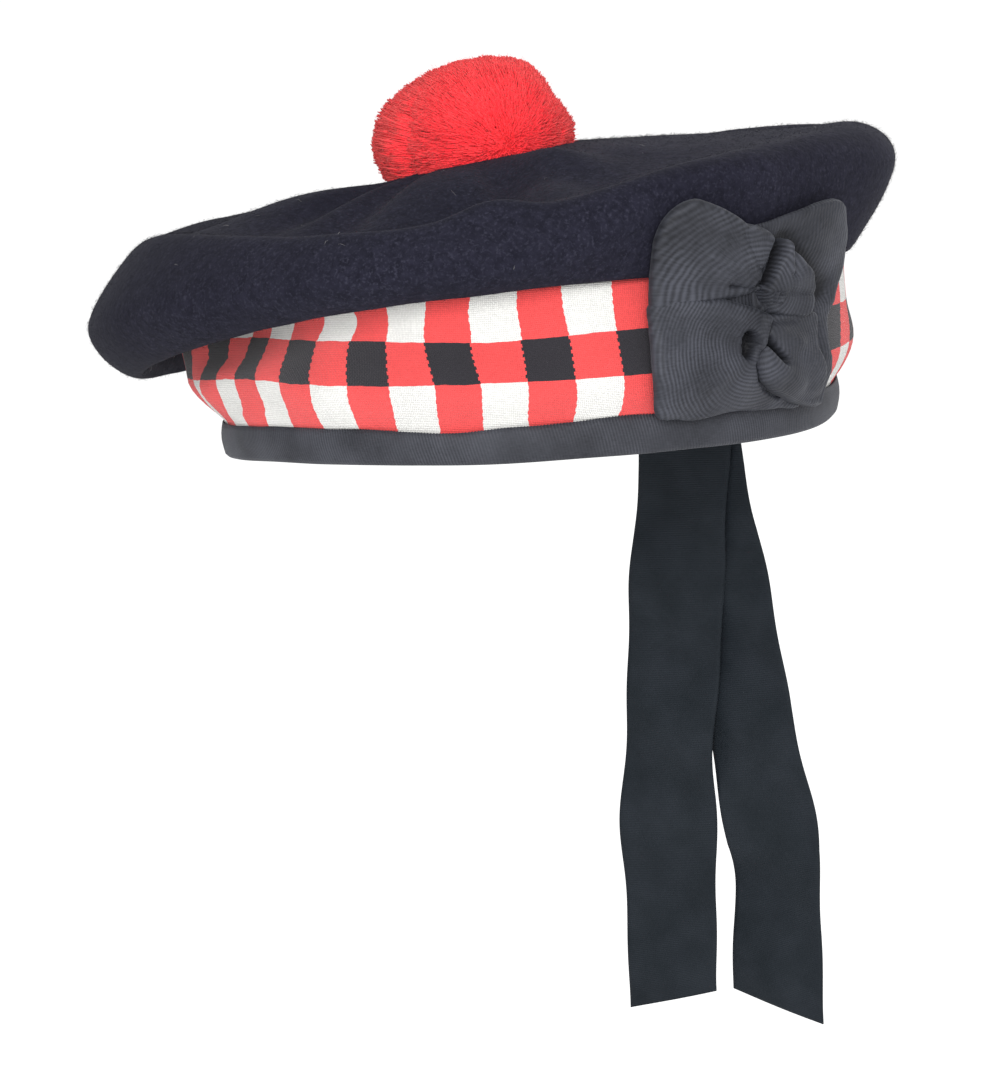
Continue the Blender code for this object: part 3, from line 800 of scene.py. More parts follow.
class Finish:
    """A material's node tree, with short ways to add and join nodes."""

    def __init__(self, name, roughness, gloss=0.25, sheen=0.0, sheen_roughness=0.5, tint=(1, 1, 1)):
        self.material = bpy.data.materials.new(name)
        self.material.use_nodes = True
        self.nodes = self.material.node_tree.nodes
        self.links = self.material.node_tree.links
        self.shader = self.nodes["Principled BSDF"]
        self.shader.inputs["Roughness"].default_value = roughness
        self.shader.inputs["Specular IOR Level"].default_value = gloss
        self.shader.inputs["Sheen Weight"].default_value = sheen
        self.shader.inputs["Sheen Roughness"].default_value = sheen_roughness
        self.shader.inputs["Sheen Tint"].default_value = (*tint, 1.0)

    def feed(self, socket, value):
        """Links a socket to another, or sets its value."""
        if isinstance(value, bpy.types.NodeSocket):
            self.links.new(value, socket)
        elif isinstance(value, tuple) and len(value) == 3 and socket.type == "RGBA":
            socket.default_value = (*value, 1.0)
        else:
            socket.default_value = value

    def add(self, kind, inputs, **settings):
        """A node of a kind with its inputs and settings."""
        node = self.nodes.new("ShaderNode" + kind)
        for key, value in settings.items():
            setattr(node, key, value)
        for key, value in inputs.items():
            self.feed(node.inputs[key], value)
        return node

    def maths(self, operation, *values):
        """The result of one sum."""
        return self.add("Math", dict(enumerate(values)), operation=operation).outputs[0]

    def plus(self, a, b):
        return self.maths("ADD", a, b)

    def minus(self, a, b):
        return self.maths("SUBTRACT", a, b)

    def times(self, a, b):
        return self.maths("MULTIPLY", a, b)

    def mix(self, share, a, b, blend="MIX"):
        """Two colours mixed by a share."""
        inputs = {0: share, 6: a, 7: b}
        return self.add("Mix", inputs, data_type="RGBA", blend_type=blend).outputs[2]

    def place(self):
        """The object's own coordinates."""
        return self.add("TexCoord", {}).outputs["Object"]

    def noise(self, scale, detail=2.0, rough=0.5, vector=None):
        """Noise on the object's own coordinates, or on a vector, as a value about 0.5."""
        inputs = {"Vector": vector or self.place(), "Scale": scale, "Detail": detail, "Roughness": rough}
        return self.add("TexNoise", inputs).outputs["Fac"]

    def swing(self, scale, detail, amount):
        """Noise that swings to either side of 0."""
        return self.times(self.minus(self.noise(scale, detail), 0.5), amount)

    def between(self, value, low, high, out_low=0.0, out_high=1.0):
        """A value moved from one range to another."""
        inputs = {0: value, 1: low, 2: high, 3: out_low, 4: out_high}
        return self.add("MapRange", inputs).outputs[0]

    def wave(self, count):
        """A wave from 0 to 1 that repeats with every whole number."""
        return self.plus(0.5, self.times(0.5, self.maths("SINE", self.times(count, 2 * math.pi))))

    def arch(self, count):
        """A row of arches from 0 to 1, one for every whole number."""
        return self.maths("ABSOLUTE", self.maths("SINE", self.times(count, math.pi)))

    def odd(self, whole):
        """1 where a whole number is odd and 0 where it is even."""
        return self.maths("ABSOLUTE", self.maths("MODULO", whole, 2.0))

    def cloth(self):
        """The two coordinates of the cloth, from its UVs."""
        split = self.add("SeparateXYZ", {0: self.add("UVMap", {}, uv_map="cloth").outputs[0]})
        return split.outputs[0], split.outputs[1]

    def share(self, name):
        """A share that give_share wrote on the mesh."""
        return self.add("Attribute", {}, attribute_name=name).outputs["Fac"]

    def painted_shade_rightwards(self, base):
        """A wool colour with painted shade, a little darker towards the wearer's right."""
        along = self.add("SeparateXYZ", {0: self.place()}).outputs[0]
        return self.mix(self.between(along, *WOOL_SHADE_SPAN, WOOL_SHADE_SHARE, 0.0), base, WOOL_PAINTED_SHADE)

    def bump(self, height, strength, distance, *below):
        """A bump from a height, on top of another one where that is given."""
        inputs = {"Height": height, "Strength": strength, "Distance": distance}
        if below:
            inputs["Normal"] = below[0]
        return self.add("Bump", inputs).outputs[0]

    def done(self, colour, *normals):
        """The material, once its colour and its bumped surface are fed to the shader."""
        self.feed(self.shader.inputs["Base Color"], colour)
        for normal in normals:
            self.feed(self.shader.inputs["Normal"], normal)
        return self.material


def wool_finish():
    """Brushed melton wool, near black with a blue cast and pale flecks of fibre."""
    m = Finish("wool_black", 0.95, 0.10, sheen=0.01, sheen_roughness=0.5, tint=(0.60, 0.62, 0.90))
    clumps, nap = m.noise(420, 3, 0.6), m.noise(1100, 3, 0.65)
    dark, mean, pale = WOOL_DYES
    base = m.mix(m.between(clumps, 0.35, 0.65), dark, mean)
    base = m.mix(m.between(nap, 0.52, 0.72, 0.0, 0.55), base, pale)
    base = m.mix(m.between(m.noise(38), 0.35, 0.65, 0.0, 0.40), base, dark)
    return m.done(m.painted_shade_rightwards(base), m.bump(clumps, 0.55, 0.0006, m.bump(nap, 0.5, 0.0003)))


def fibre_finish():
    """The loose fibres that stand from the wool."""
    m = Finish("wool_fibre", 0.9, 0.1)
    shade = m.between(m.noise(300), 0.4, 0.6)
    return m.done(m.painted_shade_rightwards(m.mix(shade, *FIBRE_DYES)))


def lint_finish():
    """Pale lint caught on the wool."""
    m = Finish("wool_lint", 0.9)
    return m.done(m.mix(m.noise(200), *LINT_DYES))


def plain_weave(m, across, up):
    """Height and thread number of a plain weave, from thread coordinates."""
    i, j = m.maths("FLOOR", across), m.maths("FLOOR", up)
    over = m.odd(m.plus(i, j))
    arches = m.arch(across), m.arch(up)
    warp, weft = (m.times(a, m.plus(0.55, m.times(b, 0.45))) for a, b in (arches, arches[::-1]))
    return m.plus(m.times(warp, over), m.times(weft, m.minus(1.0, over))), i, j


def diced_finish():
    """The dicing: rows of red, white and black squares with stepped edges, in a plain weave."""
    m = Finish("diced_weave", 0.85, sheen=0.12)
    u, v = m.cloth()
    step = m.maths("MODULO", m.maths("FLOOR", m.times(v, THREADS_A_SQUARE)), 2.0)
    inner = m.times(m.maths("GREATER_THAN", v, 1.0), m.maths("LESS_THAN", v, 2.0))
    tooth = m.times(step, m.between(inner, 0.0, 1.0, 0.010, 0.030))
    wander = m.swing(150, 3, 0.12)
    column = m.odd(m.maths("FLOOR", m.plus(u, m.plus(tooth, wander))))
    level = m.plus(v, m.times(wander, 0.8))
    middle = m.times(m.maths("GREATER_THAN", level, 1.0), m.maths("LESS_THAN", level, 2.0))
    solid = m.minus(1.0, column)
    red = m.maths("ABSOLUTE", m.minus(solid, middle))
    height, i, j = plain_weave(m, m.times(u, 2 * THREADS_A_SQUARE), m.times(v, 2 * THREADS_A_SQUARE))
    place = m.add("CombineXYZ", {0: i, 1: j}).outputs[0]
    speck = m.add("TexWhiteNoise", {0: place}, noise_dimensions="3D").outputs["Value"]
    dye = m.mix(m.times(solid, middle), m.mix(red, DICE_WHITE, DICE_RED), DICE_BLACK)
    # Painted shade: the dye darkens where the weave's threads dip; the speck per thread and the broad
    # noise are the cloth's own tone
    shade = m.times(m.between(speck, 0.0, 1.0, 0.93, 1.04), m.between(height, 0.2, 1.0, 0.80, 1.02))
    shade = m.times(shade, m.between(m.noise(70), 0.3, 0.7, 0.95, 1.04))
    grey = m.add("CombineColor", {0: shade, 1: shade, 2: shade}).outputs[0]
    fuzz = m.bump(m.noise(1300), 0.3, 0.0002)
    return m.done(m.mix(1.0, dye, grey, "MULTIPLY"), m.bump(height, 0.7, 0.0003, fuzz))


def ribbon_finish(name, dyes, rib, gloss, moire, slant=0.0):
    """Ribbed ribbon. The ribs run along lines of equal first cloth coordinate, in metres."""
    m = Finish(name, 0.65, gloss, sheen=0.03, sheen_roughness=0.4, tint=(0.8, 0.85, 1.0))
    u, v = m.cloth()
    count = m.maths("DIVIDE", m.plus(u, m.times(v, slant)), rib)
    ridge = m.wave(m.plus(count, m.swing(120, 2, moire)))
    threads = m.add("CombineXYZ", {0: m.times(u, 500.0), 1: m.times(v, 4000.0)}).outputs[0]
    weave = m.noise(1.0, vector=threads)
    clear = m.between(m.noise(90), 0.35, 0.65, 0.08, 0.48)
    tone = m.plus(m.times(ridge, clear), m.times(weave, 0.60))
    tone = m.plus(tone, m.swing(60, 2, 0.7))
    base = m.mix(m.between(tone, 0.1, 0.85), *dyes)
    # Painted shade on the bow, read from the share that bow_ribbon writes; the other ribbons have none
    base = m.mix(m.times(m.share("painted_shade"), PAINTED_SHADE_SHARE), base, PAINTED_SHADE_DYE)
    return m.done(base, m.bump(ridge, 0.36, 0.00025, m.bump(weave, 0.5, 0.00020)))


def yarn_finish():
    """Cut red wool yarn, each strand a little lighter or darker than the next."""
    m = Finish("yarn_red", 0.9, sheen=0.25, sheen_roughness=0.5, tint=(1.0, 0.35, 0.30))
    u, v = m.cloth()
    ply = m.wave(m.plus(m.times(v, YARN_TWISTS), m.times(u, 2.0)))
    fuzz = m.bump(m.noise(2500), 0.3, 0.0001)
    return m.done(m.mix(m.share("tint"), *YARN_DYES), m.bump(ply, 0.35, 0.0002, fuzz))


def stage_finish():
    """Matt white paper."""
    m = Finish("studio_white", 1.0, 0.0)
    return m.done(m.mix(m.noise(3), *PAPER_DYES))


# The pieces


def band_places():
    """Angles round the band with their share of the way round, counted by arc length."""
    fine = np.linspace(0.0, 360.0, 7201)
    height = np.full_like(fine, BINDING_HEIGHT + DICE_ROW_HEIGHT)
    line = oval(fine, band_out(fine, height), height)
    run = travelled(np.linalg.norm(np.diff(line, axis=0), axis=1))
    angles = 360.0 * np.arange(BAND_AROUND + 1) / BAND_AROUND
    return angles, np.interp(angles, fine, run / run[-1])


def rim_shift(angles):
    """How far the rim leaves its oval, outwards and upwards, and the lift of the edge."""
    moved = np.zeros((3,) + np.shape(angles))
    for row in RIM_TABLE:
        near = bell(turn_between(angles, row.angle), row.half_width)
        moved += np.multiply.outer([row.out * MM, row.lift * MM, row.edge * MM], near)
    return moved


def buckle(angles, heights):
    """How the band's dents and swells move it: out, aside and up, in metres."""
    share = (heights - BINDING_HEIGHT) / (DICE_ROWS * DICE_ROW_HEIGHT)
    moved = np.zeros((3,) + np.broadcast(angles, heights).shape)
    for row in BUCKLE_TABLE:
        middle = row.angle + row.lean * (row.height - share)
        near = bell(turn_between(angles, middle), row.half_width)
        near = near * bell(share - row.height, row.half_height)
        moved += np.multiply.outer([row.out * MM, row.slip * MM, row.lift * MM], near)
    return moved * smooth(share / BUCKLE_START)


def band_points(angles, heights):
    """The band's outside, dented, slipped and lifted."""
    out, slip, lift = buckle(angles, heights)
    rim_out, rim_lift, _ = rim_shift(angles)
    share = np.clip((heights - BINDING_HEIGHT) / (DICE_ROWS * DICE_ROW_HEIGHT), 0.0, 1.0)
    turned = angles + np.degrees(slip / (RIM_WIDTH / 2))
    out = out + band_out(turned, heights) + rim_out * (1 - share)
    return oval(turned, out, heights + lift + rim_lift * (1 - RIM_LIFT_FADE * share))


def diced_band(material):
    """The woven band, buckled on the wearer's right."""
    angles, shares = band_places()
    heights = np.linspace(BAND_FOOT, BAND_TOP, BAND_STEPS)
    a, h = np.meshgrid(angles[:-1], heights)
    points = band_points(a, h)
    slack = rough(points, BAND_SLACK_SIZE, 3) * BAND_SLACK
    slack = slack * smooth((h - BINDING_HEIGHT) / BAND_SLACK_START)
    points += direction(a) * slack[..., None]
    u = shares * DICE_ROUND - DICE_PHASE
    v = ((heights - BINDING_HEIGHT) / DICE_ROW_HEIGHT)[:, None]
    obj = grid_object("diced_band_cloth", points, u, v, material, closed=True)
    add_wall(obj, BAND_WALL * 0.9, -1.0)
    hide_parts("diced_band")


def rim_binding(material):
    """The ribbon folded over the band's foot, its edges nicked by the ribs."""
    mean = (RIM_LENGTH + RIM_WIDTH) / 2
    count = 2 * round(math.pi * mean / BINDING_RIB)
    angles = 360.0 * np.arange(count) / count
    half = BINDING_WALL / 2
    outer, inner = CLEARANCE + half, -BAND_WALL - CLEARANCE - half
    middle, radius = (outer + inner) / 2, (outer - inner) / 2
    rise = np.linspace(0.0, 1.0, BINDING_SIDE_POINTS)
    side = radius + half + (BINDING_HEIGHT - radius - half) * rise
    turns = np.linspace(math.pi, 0.0, BINDING_FOLD_POINTS + 2)[1:-1]
    bulged = outer + BINDING_BULGE * np.sin(math.pi * rise)
    outs = np.concatenate([np.full_like(side, inner), middle + radius * np.cos(turns), bulged])
    ups = np.concatenate([side[::-1], radius + half - radius * np.sin(turns), side])
    edge = np.concatenate([rise[::-1], np.zeros_like(turns), rise])[:, None]
    line = oval(angles, 0.0, 0.0)
    wave = rough(line, BINDING_WAVE_SIZE, 5) * BINDING_WAVE
    loose = rough(line, BINDING_LOOSE_SIZE, 7) * BINDING_WAVE * 0.5
    nick = np.where(np.arange(count) % 2 == 0, BINDING_NICK, -BINDING_NICK)
    rim_out, rim_lift, edge_lift = rim_shift(angles)
    heights = ups[:, None] + wave + rim_lift + edge_lift * edge + (edge ** 4) * (loose + nick)
    points = oval(angles[None], outs[:, None] + rim_out + (1 - edge) * loose * 0.7, heights)
    u = math.pi * mean * np.arange(count + 1) / count
    v = travelled(np.hypot(np.diff(outs), np.diff(ups)))[:, None]
    obj = grid_object("binding_ribbon", points, u, v, material, closed=True)
    add_wall(obj, BINDING_WALL * 0.7, 0.0, even=True)
    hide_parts("rim_binding")


def top_plane(x, y):
    """Height of the tilted flat that carries the toorie."""
    fall = direction(TOP_TILT_FALLS_TO)
    along = (x - CROWN_SHIFT_X) * fall[0] + (y - CROWN_SHIFT_Y) * fall[1]
    return SEAT_RISE - along * math.tan(math.radians(TOP_TILT))


def fold_depth(angles, way_in):
    """How deep the folds press the crown's top."""
    depth = np.zeros_like(angles)
    for row in FOLD_TABLE:
        near = bell(turn_between(angles, row.angle), row.half_width)
        depth += row.depth * near * bell(way_in - row.way_in, row.half_length)
    return depth * CROWN_RISE


def edge_wave(angles):
    """The scalloping of the crown's edge."""
    total = np.zeros_like(angles)
    for row in WAVE_TABLE:
        total += row.depth * np.sin(np.radians(row.count * angles + row.phase))
    return total * CROWN_OVERHANG


def crown_knots(angles):
    """The lines that the crown's sections pass through, from the tucked neck to the middle."""
    row = CROWN_TABLE.around(angles)
    outward = direction(angles)
    top = np.full_like(angles, BAND_TOP)
    band = band_out(angles, top)
    dented = band + buckle(angles, top)[0]
    neck_out = dented - BAND_WALL - CLEARANCE
    wave = edge_wave(angles)

    def roll(out, rise, wave_share):
        point = oval(angles, band, BAND_TOP + rise * CROWN_RISE)
        return point + outward * (out * CROWN_OVERHANG + wave * wave_share)[:, None]

    def towards_seat(share, heights):
        point = ridge + (seat - ridge) * share
        point[:, 2] = heights
        return point

    neck_low = oval(angles, neck_out, top - CROWN_TUCK)
    neck_top = oval(angles, neck_out, top + CLEARANCE)
    over = oval(angles, dented + CLEARANCE, top + BAND_WALL)
    lip = roll(row.lip_out, row.lip_rise, 0.6)
    edge = roll(row.edge_out, row.edge_rise, 1.0)
    ridge = roll(row.ridge_out, row.ridge_rise, 0.4)
    middle = np.zeros_like(lip) + CROWN_MIDDLE
    seat = middle + outward * TOP_SEAT_RADIUS
    seat[:, 2] = top_plane(seat[:, 0], seat[:, 1])
    climb = seat[:, 2] - ridge[:, 2]
    dent = row.dent * CROWN_RISE
    valley = towards_seat(VALLEY_WAY, ridge[:, 2] + climb * VALLEY_CLIMB - dent)
    shoulder = towards_seat(SHOULDER_WAY, ridge[:, 2] + climb * SHOULDER_CLIMB)
    return [neck_low, neck_top, over, lip, edge, ridge, valley, shoulder, seat, (seat + middle) / 2]


def crown_surface(angles, places):
    """Points of the crown's outside at angles, at places counted in knots from the neck."""
    knots = crown_knots(angles)
    last = len(knots) - 1
    rows = []
    for place in places:
        i = min(int(place), last - 1)
        point = catmull_rom(*(knots[min(max(i + step, 0), last)] for step in NEIGHBOURS), place - i)
        way_in = (place - RIDGE) / (SEAT - RIDGE)
        fading = 1.0 - smooth((way_in - 1.0) / FOLDS_END)
        point[:, 2] -= fold_depth(angles, way_in) * smooth(way_in / FOLDS_START + 1.0) * fading
        rows.append(point)
    return np.array(rows)


def crown_walls():
    """Rows of points of the crown's outside and plainer inside, and the places of the outer rows."""
    starts = [i + np.arange(count) / count for i, count in enumerate(CROWN_ROWS)]
    places = np.concatenate(starts + [[INNERMOST]])
    outer = crown_surface(360.0 * np.arange(CROWN_AROUND) / CROWN_AROUND, places)
    soft = smooth(places[1:-1] - LIP)[:, None, None] * 0.5
    for _ in range(4):
        mean = (outer[:-2] + outer[2:]) / 2
        outer[1:-1] += (mean - outer[1:-1]) * soft
    normals = grid_normals(outer)
    free = smooth(places - OVER)[:, None] * smooth(INNERMOST - places)[:, None]
    relief = sum(rough(outer, row.size, row.seed) * row.height for row in RELIEF_TABLE)
    outer = outer + normals * (relief * free)[..., None]
    inside = (outer - normals * CROWN_WALL)[::-1, ::CROWN_INSIDE_SHARE]
    return outer, np.concatenate([inside[:-1:2], inside[-1:]]), places


def fan(ring, tip):
    """Triangles from a ring of corners to a tip."""
    return np.stack([ring, np.roll(ring, -1), np.full_like(ring, tip)], 1)


def crown(material):
    """The wool crown: a fine outside, a plainer inside, joined at the neck."""
    outer, inside, places = crown_walls()
    few = CROWN_AROUND // CROWN_INSIDE_SHARE
    pole_in = CROWN_MIDDLE - [0.0, 0.0, CROWN_WALL]
    points = np.concatenate([outer.reshape(-1, 3), [CROWN_MIDDLE], inside.reshape(-1, 3), [pole_in]])
    pole = len(outer) * CROWN_AROUND
    start_in = pole + 1
    hem_in = start_in + (len(inside) - 1) * few
    faces_out = grid_faces(len(outer), CROWN_AROUND, True)[0]
    faces_in = grid_faces(len(inside), few, True)[0] + start_in
    fan_out = fan(pole - CROWN_AROUND + np.arange(CROWN_AROUND), pole)
    k = np.arange(few)
    fan_in = fan(start_in + k, start_in + len(inside) * few)[:, ::-1]
    following = np.roll(k, -1)
    hem = [k * CROWN_INSIDE_SHARE + step for step in range(CROWN_INSIDE_SHARE)]
    hem.append(following * CROWN_INSIDE_SHARE)
    hem = np.stack([hem_in + k, hem_in + following, *hem[::-1]], 1)
    mesh = fill_mesh("crown_wool", points, [faces_out, faces_in, fan_out, fan_in, hem])
    obj = add_object("crown_wool", mesh, material)
    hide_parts("crown")
    return outer, places


def crown_hairs(outer, places, materials):
    """Loose fibres of the brushed wool, and a little lint."""
    generator = np.random.default_rng(HAIR_SEED)
    normals = grid_normals(outer)
    first = np.searchsorted(places, OVER + 0.2)
    cells = outer[first:-1]
    across, inwards = np.roll(cells, -1, axis=1) - cells, outer[first + 1:] - cells
    area = np.linalg.norm(np.cross(across, inwards), axis=-1).ravel()
    for row, material in zip(HAIR_TABLE, materials):
        count = row.count
        picked = generator.choice(len(area), count, p=area / area.sum())
        r, i = picked // CROWN_AROUND + first, picked % CROWN_AROUND
        share_u, share_v = generator.random((2, count, 1))
        j = (i + 1) % CROWN_AROUND
        lower, upper = (outer[s, i] * (1 - share_u) + outer[s, j] * share_u for s in (r, r + 1))
        root = lower * (1 - share_v) + upper * share_v
        up = normals[r, i]
        lean = generator.normal(size=(count, 3))
        lean = unit(lean - up * (lean * up).sum(-1, keepdims=True))
        stand = row.lift * generator.random((count, 1)) ** 1.6
        long = row.length * (0.4 + 0.8 * generator.random((count, 1)))
        tip = root + (lean * np.sqrt(1 - stand ** 2) + up * stand) * long
        sag = up * long * (0.10 + 0.10 * generator.random((count, 1)))
        mesh = hair_mesh(row.name, root - up * HAIR_ROOT, tip, sag, row.width, generator)
        add_object(row.name, mesh, material)


def heading(around, climb):
    """A unit vector at an angle round the bonnet and a climb, both in degrees."""
    flat = direction(around) * math.cos(math.radians(climb))
    return flat + [0.0, 0.0, math.sin(math.radians(climb))]


def yarn_reach(ways):
    """How far the yarn reaches in each direction from the middle of the ball."""
    reach = np.full(ways.shape[:-1], TOORIE_SHARE)
    for row in YARN_TABLE:
        way = heading(row.around, row.climb)
        apart = np.degrees(np.arccos(np.clip(ways @ way, -1, 1)))
        reach += row.amount * bell(apart, row.half_width)
    return reach * TOORIE_RADIUS


def golden(count, low):
    """Directions spread evenly over a ball, down to a lowest climb."""
    up = low + (1 - low) * (np.arange(count) + 0.5) / count
    around = math.pi * (1 + 5 ** 0.5) * np.arange(count)
    flat = np.sqrt(1 - up ** 2)
    return np.stack([flat * np.cos(around), flat * np.sin(around), up], -1)


def on_crown(points):
    """Points about the ball's middle, kept above its seat and moved on to the crown."""
    world = points + [0.0, 0.0, TOORIE_CENTRE + MM] + CROWN_MIDDLE
    low_side = (world - CROWN_MIDDLE) @ direction(TOORIE_LOW_SIDE)
    sunk = TOORIE_SINK * smooth((low_side - TOORIE_SINK_START) / TOORIE_SINK_SPAN)
    floor = top_plane(world[..., 0], world[..., 1]) - CLEARANCE - sunk
    world[..., 2] = np.maximum(world[..., 2], floor)
    return world


def yarn_paths(generator):
    """Strands that leave the middle towards the focus and bend over into their own way."""

    def scatter(count):
        return generator.normal(size=(count, 3))

    tufts = unit(golden(TOORIE_TUFTS, TOORIE_LOW) + scatter(TOORIE_TUFTS) * 0.05)
    ways = unit(golden(TOORIE_STRANDS, TOORIE_LOW - 0.02) + scatter(TOORIE_STRANDS) * 0.02)
    near = np.argmax(ways @ tufts.T, axis=1)
    ways = unit(ways * (1 - TUFT_PULL) + tufts[near] * TUFT_PULL)
    side = direction(PARTING_ANGLE + 90.0)
    across = ways @ side
    part = np.sign(across) * bell(across, PARTING_WIDTH)
    ways = unit(ways + side * (part * 0.05)[:, None])
    reach = yarn_reach(ways) * (1 + generator.normal(size=TOORIE_TUFTS)[near] * 0.012)
    reach *= 1 + generator.normal(size=TOORIE_STRANDS) * 0.008 - 0.02 * np.abs(part)
    steps = np.array(YARN_STEPS)[None, :, None]
    focus = heading(*YARN_FOCUS)
    facing = smooth((ways @ focus + 1.0) / 0.5)[:, None, None]
    gather = YARN_GATHER * (1 - steps) ** 0.9 * facing
    swirl = scatter(TOORIE_TUFTS)[near][:, None] * YARN_SWIRL * (1 - steps)
    stray = scatter(TOORIE_STRANDS)[:, None] * YARN_STRAY * steps
    heads = unit(ways[:, None] + focus * gather + swirl + stray)
    paths = on_crown(heads * (reach[:, None, None] * steps ** 0.35))
    tint = TUFT_TINT * generator.random(TOORIE_TUFTS)[near]
    return paths, tint + (1 - TUFT_TINT) * generator.random(TOORIE_STRANDS)


def toorie(material):
    """The yarn ball: two layers of cut strands over a core, with loose fluff."""
    generator = np.random.default_rng(YARN_SEED)
    layers = []
    for name, node in (("toorie_yarn", "toorie"), ("toorie_yarn_between", None)):
        paths, tint = yarn_paths(generator)
        thick = 0.85 + 0.3 * generator.random((len(paths), 1))
        mesh = strands_mesh(name, paths, np.array(YARN_RADII) * thick, TOORIE_SIDES, generator)
        give_share(mesh, "tint", np.repeat(tint, len(YARN_STEPS) * TOORIE_SIDES))
        yarn = add_object(name, mesh, material)
        if node:
            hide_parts(node)
        layers.append((paths, tint))
    toorie_core(material)
    toorie_fluff(*(np.concatenate(parts) for parts in zip(*layers)), material, generator)


def toorie_core(material):
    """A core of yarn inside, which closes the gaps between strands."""
    rings, around = 16, 44
    up = np.linspace(TOORIE_LOW, 1.0, rings)[:, None]
    turns = np.linspace(0, 2 * math.pi, around + 1)[:-1]
    flat = np.sqrt(np.maximum(0.0, 1 - up ** 2))
    ways = np.stack(np.broadcast_arrays(flat * np.cos(turns), flat * np.sin(turns), up), -1)
    points = on_crown(ways * (yarn_reach(ways) * 0.95)[..., None])
    obj = grid_object("toorie_core", points, np.zeros((rings, around + 1)), 0.0, material, closed=True)
    give_share(obj.data, "tint", np.full(rings * around, 0.6))


def toorie_fluff(paths, tint, material, generator):
    """Fine hairs along the outer part of the strands."""
    picked = generator.integers(0, len(paths), TOORIE_HAIRS)
    share = 0.3 + 0.7 * generator.random((TOORIE_HAIRS, 1))
    root = paths[picked, -2] * (1 - share) + paths[picked, -1] * share
    along = unit(paths[picked, -1] - paths[picked, -2])
    stray = unit(along + generator.normal(size=along.shape) * 0.6)
    long = FLUFF_LENGTHS[0] + FLUFF_LENGTHS[1] * generator.random((TOORIE_HAIRS, 1)) ** 2
    sag = generator.normal(size=along.shape) * FLUFF_SAG
    mesh = hair_mesh("toorie_fluff", root, root + stray * long, sag, FLUFF_WIDTH, generator)
    mesh.uv_layers.new(name="cloth")
    give_share(mesh, "tint", np.repeat(tint[picked], HAIR_POINTS))
    add_object("toorie_fluff", mesh, material)


def bow_point(along, out, share):
    """Points of the bow: along in shares of half its width, out in metres, up in shares."""
    height = BOW_FOOT + share * BOW_HEIGHT
    mean_radius = (RIM_LENGTH + RIM_WIDTH) / 4
    angle = BOW_ANGLE + np.degrees(along * BOW_WIDTH / 2 / mean_radius)
    upper = np.maximum(0.0, share * 2.0 - 1.0)
    stand = band_out(BOW_ANGLE, height) + CLEARANCE + BINDING_WALL + BINDING_BULGE
    return oval(angle, stand + BOW_LEAN * upper ** 1.5 + out, height)


def crease_depth(x, y, row):
    """How far one crease presses in or stands out at places on the bow."""
    from_x, from_y = x - row.x0, y - row.y0
    dx, dy = row.x1 - row.x0, row.y1 - row.y0
    t = np.clip((from_x * dx + from_y * dy) / (dx * dx + dy * dy), 0.0, 1.0)
    apart = np.hypot(from_x - t * dx, from_y - t * dy)
    return row.depth * np.exp(-((apart / row.half) ** row.steep))


def bow_ribbon(ribbon, material):
    """A ribbon of the bow, spread round its pinch. Here lengths are in millimetres."""
    outline, back, straight = ribbon.outline, ribbon.back, ribbon.straight
    first, last = outline[0].turn, outline[-1].turn
    whole = last - first == 360
    turn = np.linspace(first, last, BOW_COLUMN_COUNT + 1)
    lobe = outline.along(turn)
    radius = lobe.reach * np.linspace(0.01, 1.0, BOW_LEVEL_COUNT + 1)[:, None]
    angle = np.radians(turn)
    x = ribbon.pinch[0] + radius * np.cos(angle)
    y = ribbon.pinch[1] + radius * np.sin(angle)
    to_edge = lobe.reach - radius
    if not whole:
        to_edge = np.minimum(np.minimum(turn - first, last - turn) * math.pi / 180 * radius, to_edge)
    over = np.clip(to_edge / ribbon.curl_width, 0.0, 1.0)
    curl = 1.0 - ribbon.curl * (1.0 - np.sqrt(1.0 - (1.0 - over) ** 2))
    opening = np.sin(np.clip(radius / GATHER_REACH, 0.0, 1.0) * math.pi / 2)
    opened = 1.0 - ribbon.gather * (1.0 - opening)
    folds = sum(crease_depth(x, y, row) for row in ribbon.creases)
    stand = back + (lobe.stand - back) * opened * curl + folds
    flat = np.stack([x, y, np.zeros_like(x)], -1)
    for row in CRUMPLE_TABLE:
        stand = stand + rough(flat, row.size, ribbon.seed) * row.height
    stand = np.maximum(stand, back * 0.4 + 0.3)
    points = bow_point(x * MM / (BOW_WIDTH / 2), stand * MM, y * MM / BOW_HEIGHT)
    ribs = (radius + RIB_SWAY * np.sin(angle * 3.0)) * (1.0 - straight) + (x + 0.12 * y) * straight
    # Painted shade: the dye darkens where a crease presses deep into the ribbon
    shade = smooth((-folds - PAINTED_SHADE_START) / PAINTED_SHADE_SPAN)
    # More painted shade in the listed patches, among them the shadow the puff casts on the panel
    for row in PAINTED_SHADE_TABLE:
        shaded_patch = row.amount * bell(np.hypot(x - row.x, y - row.y), row.half)
        shade = np.maximum(shade, shaded_patch)
    if whole:
        points, shade = points[:, :-1], shade[:, :-1]
    obj = grid_object(ribbon.name, points, ribs * MM, angle * 12.0 * MM, material, closed=whole)
    give_share(obj.data, "painted_shade", shade)
    add_wall(obj, BOW_CLOTH, -1.0)
    if ribbon.node:
        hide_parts(ribbon.node)


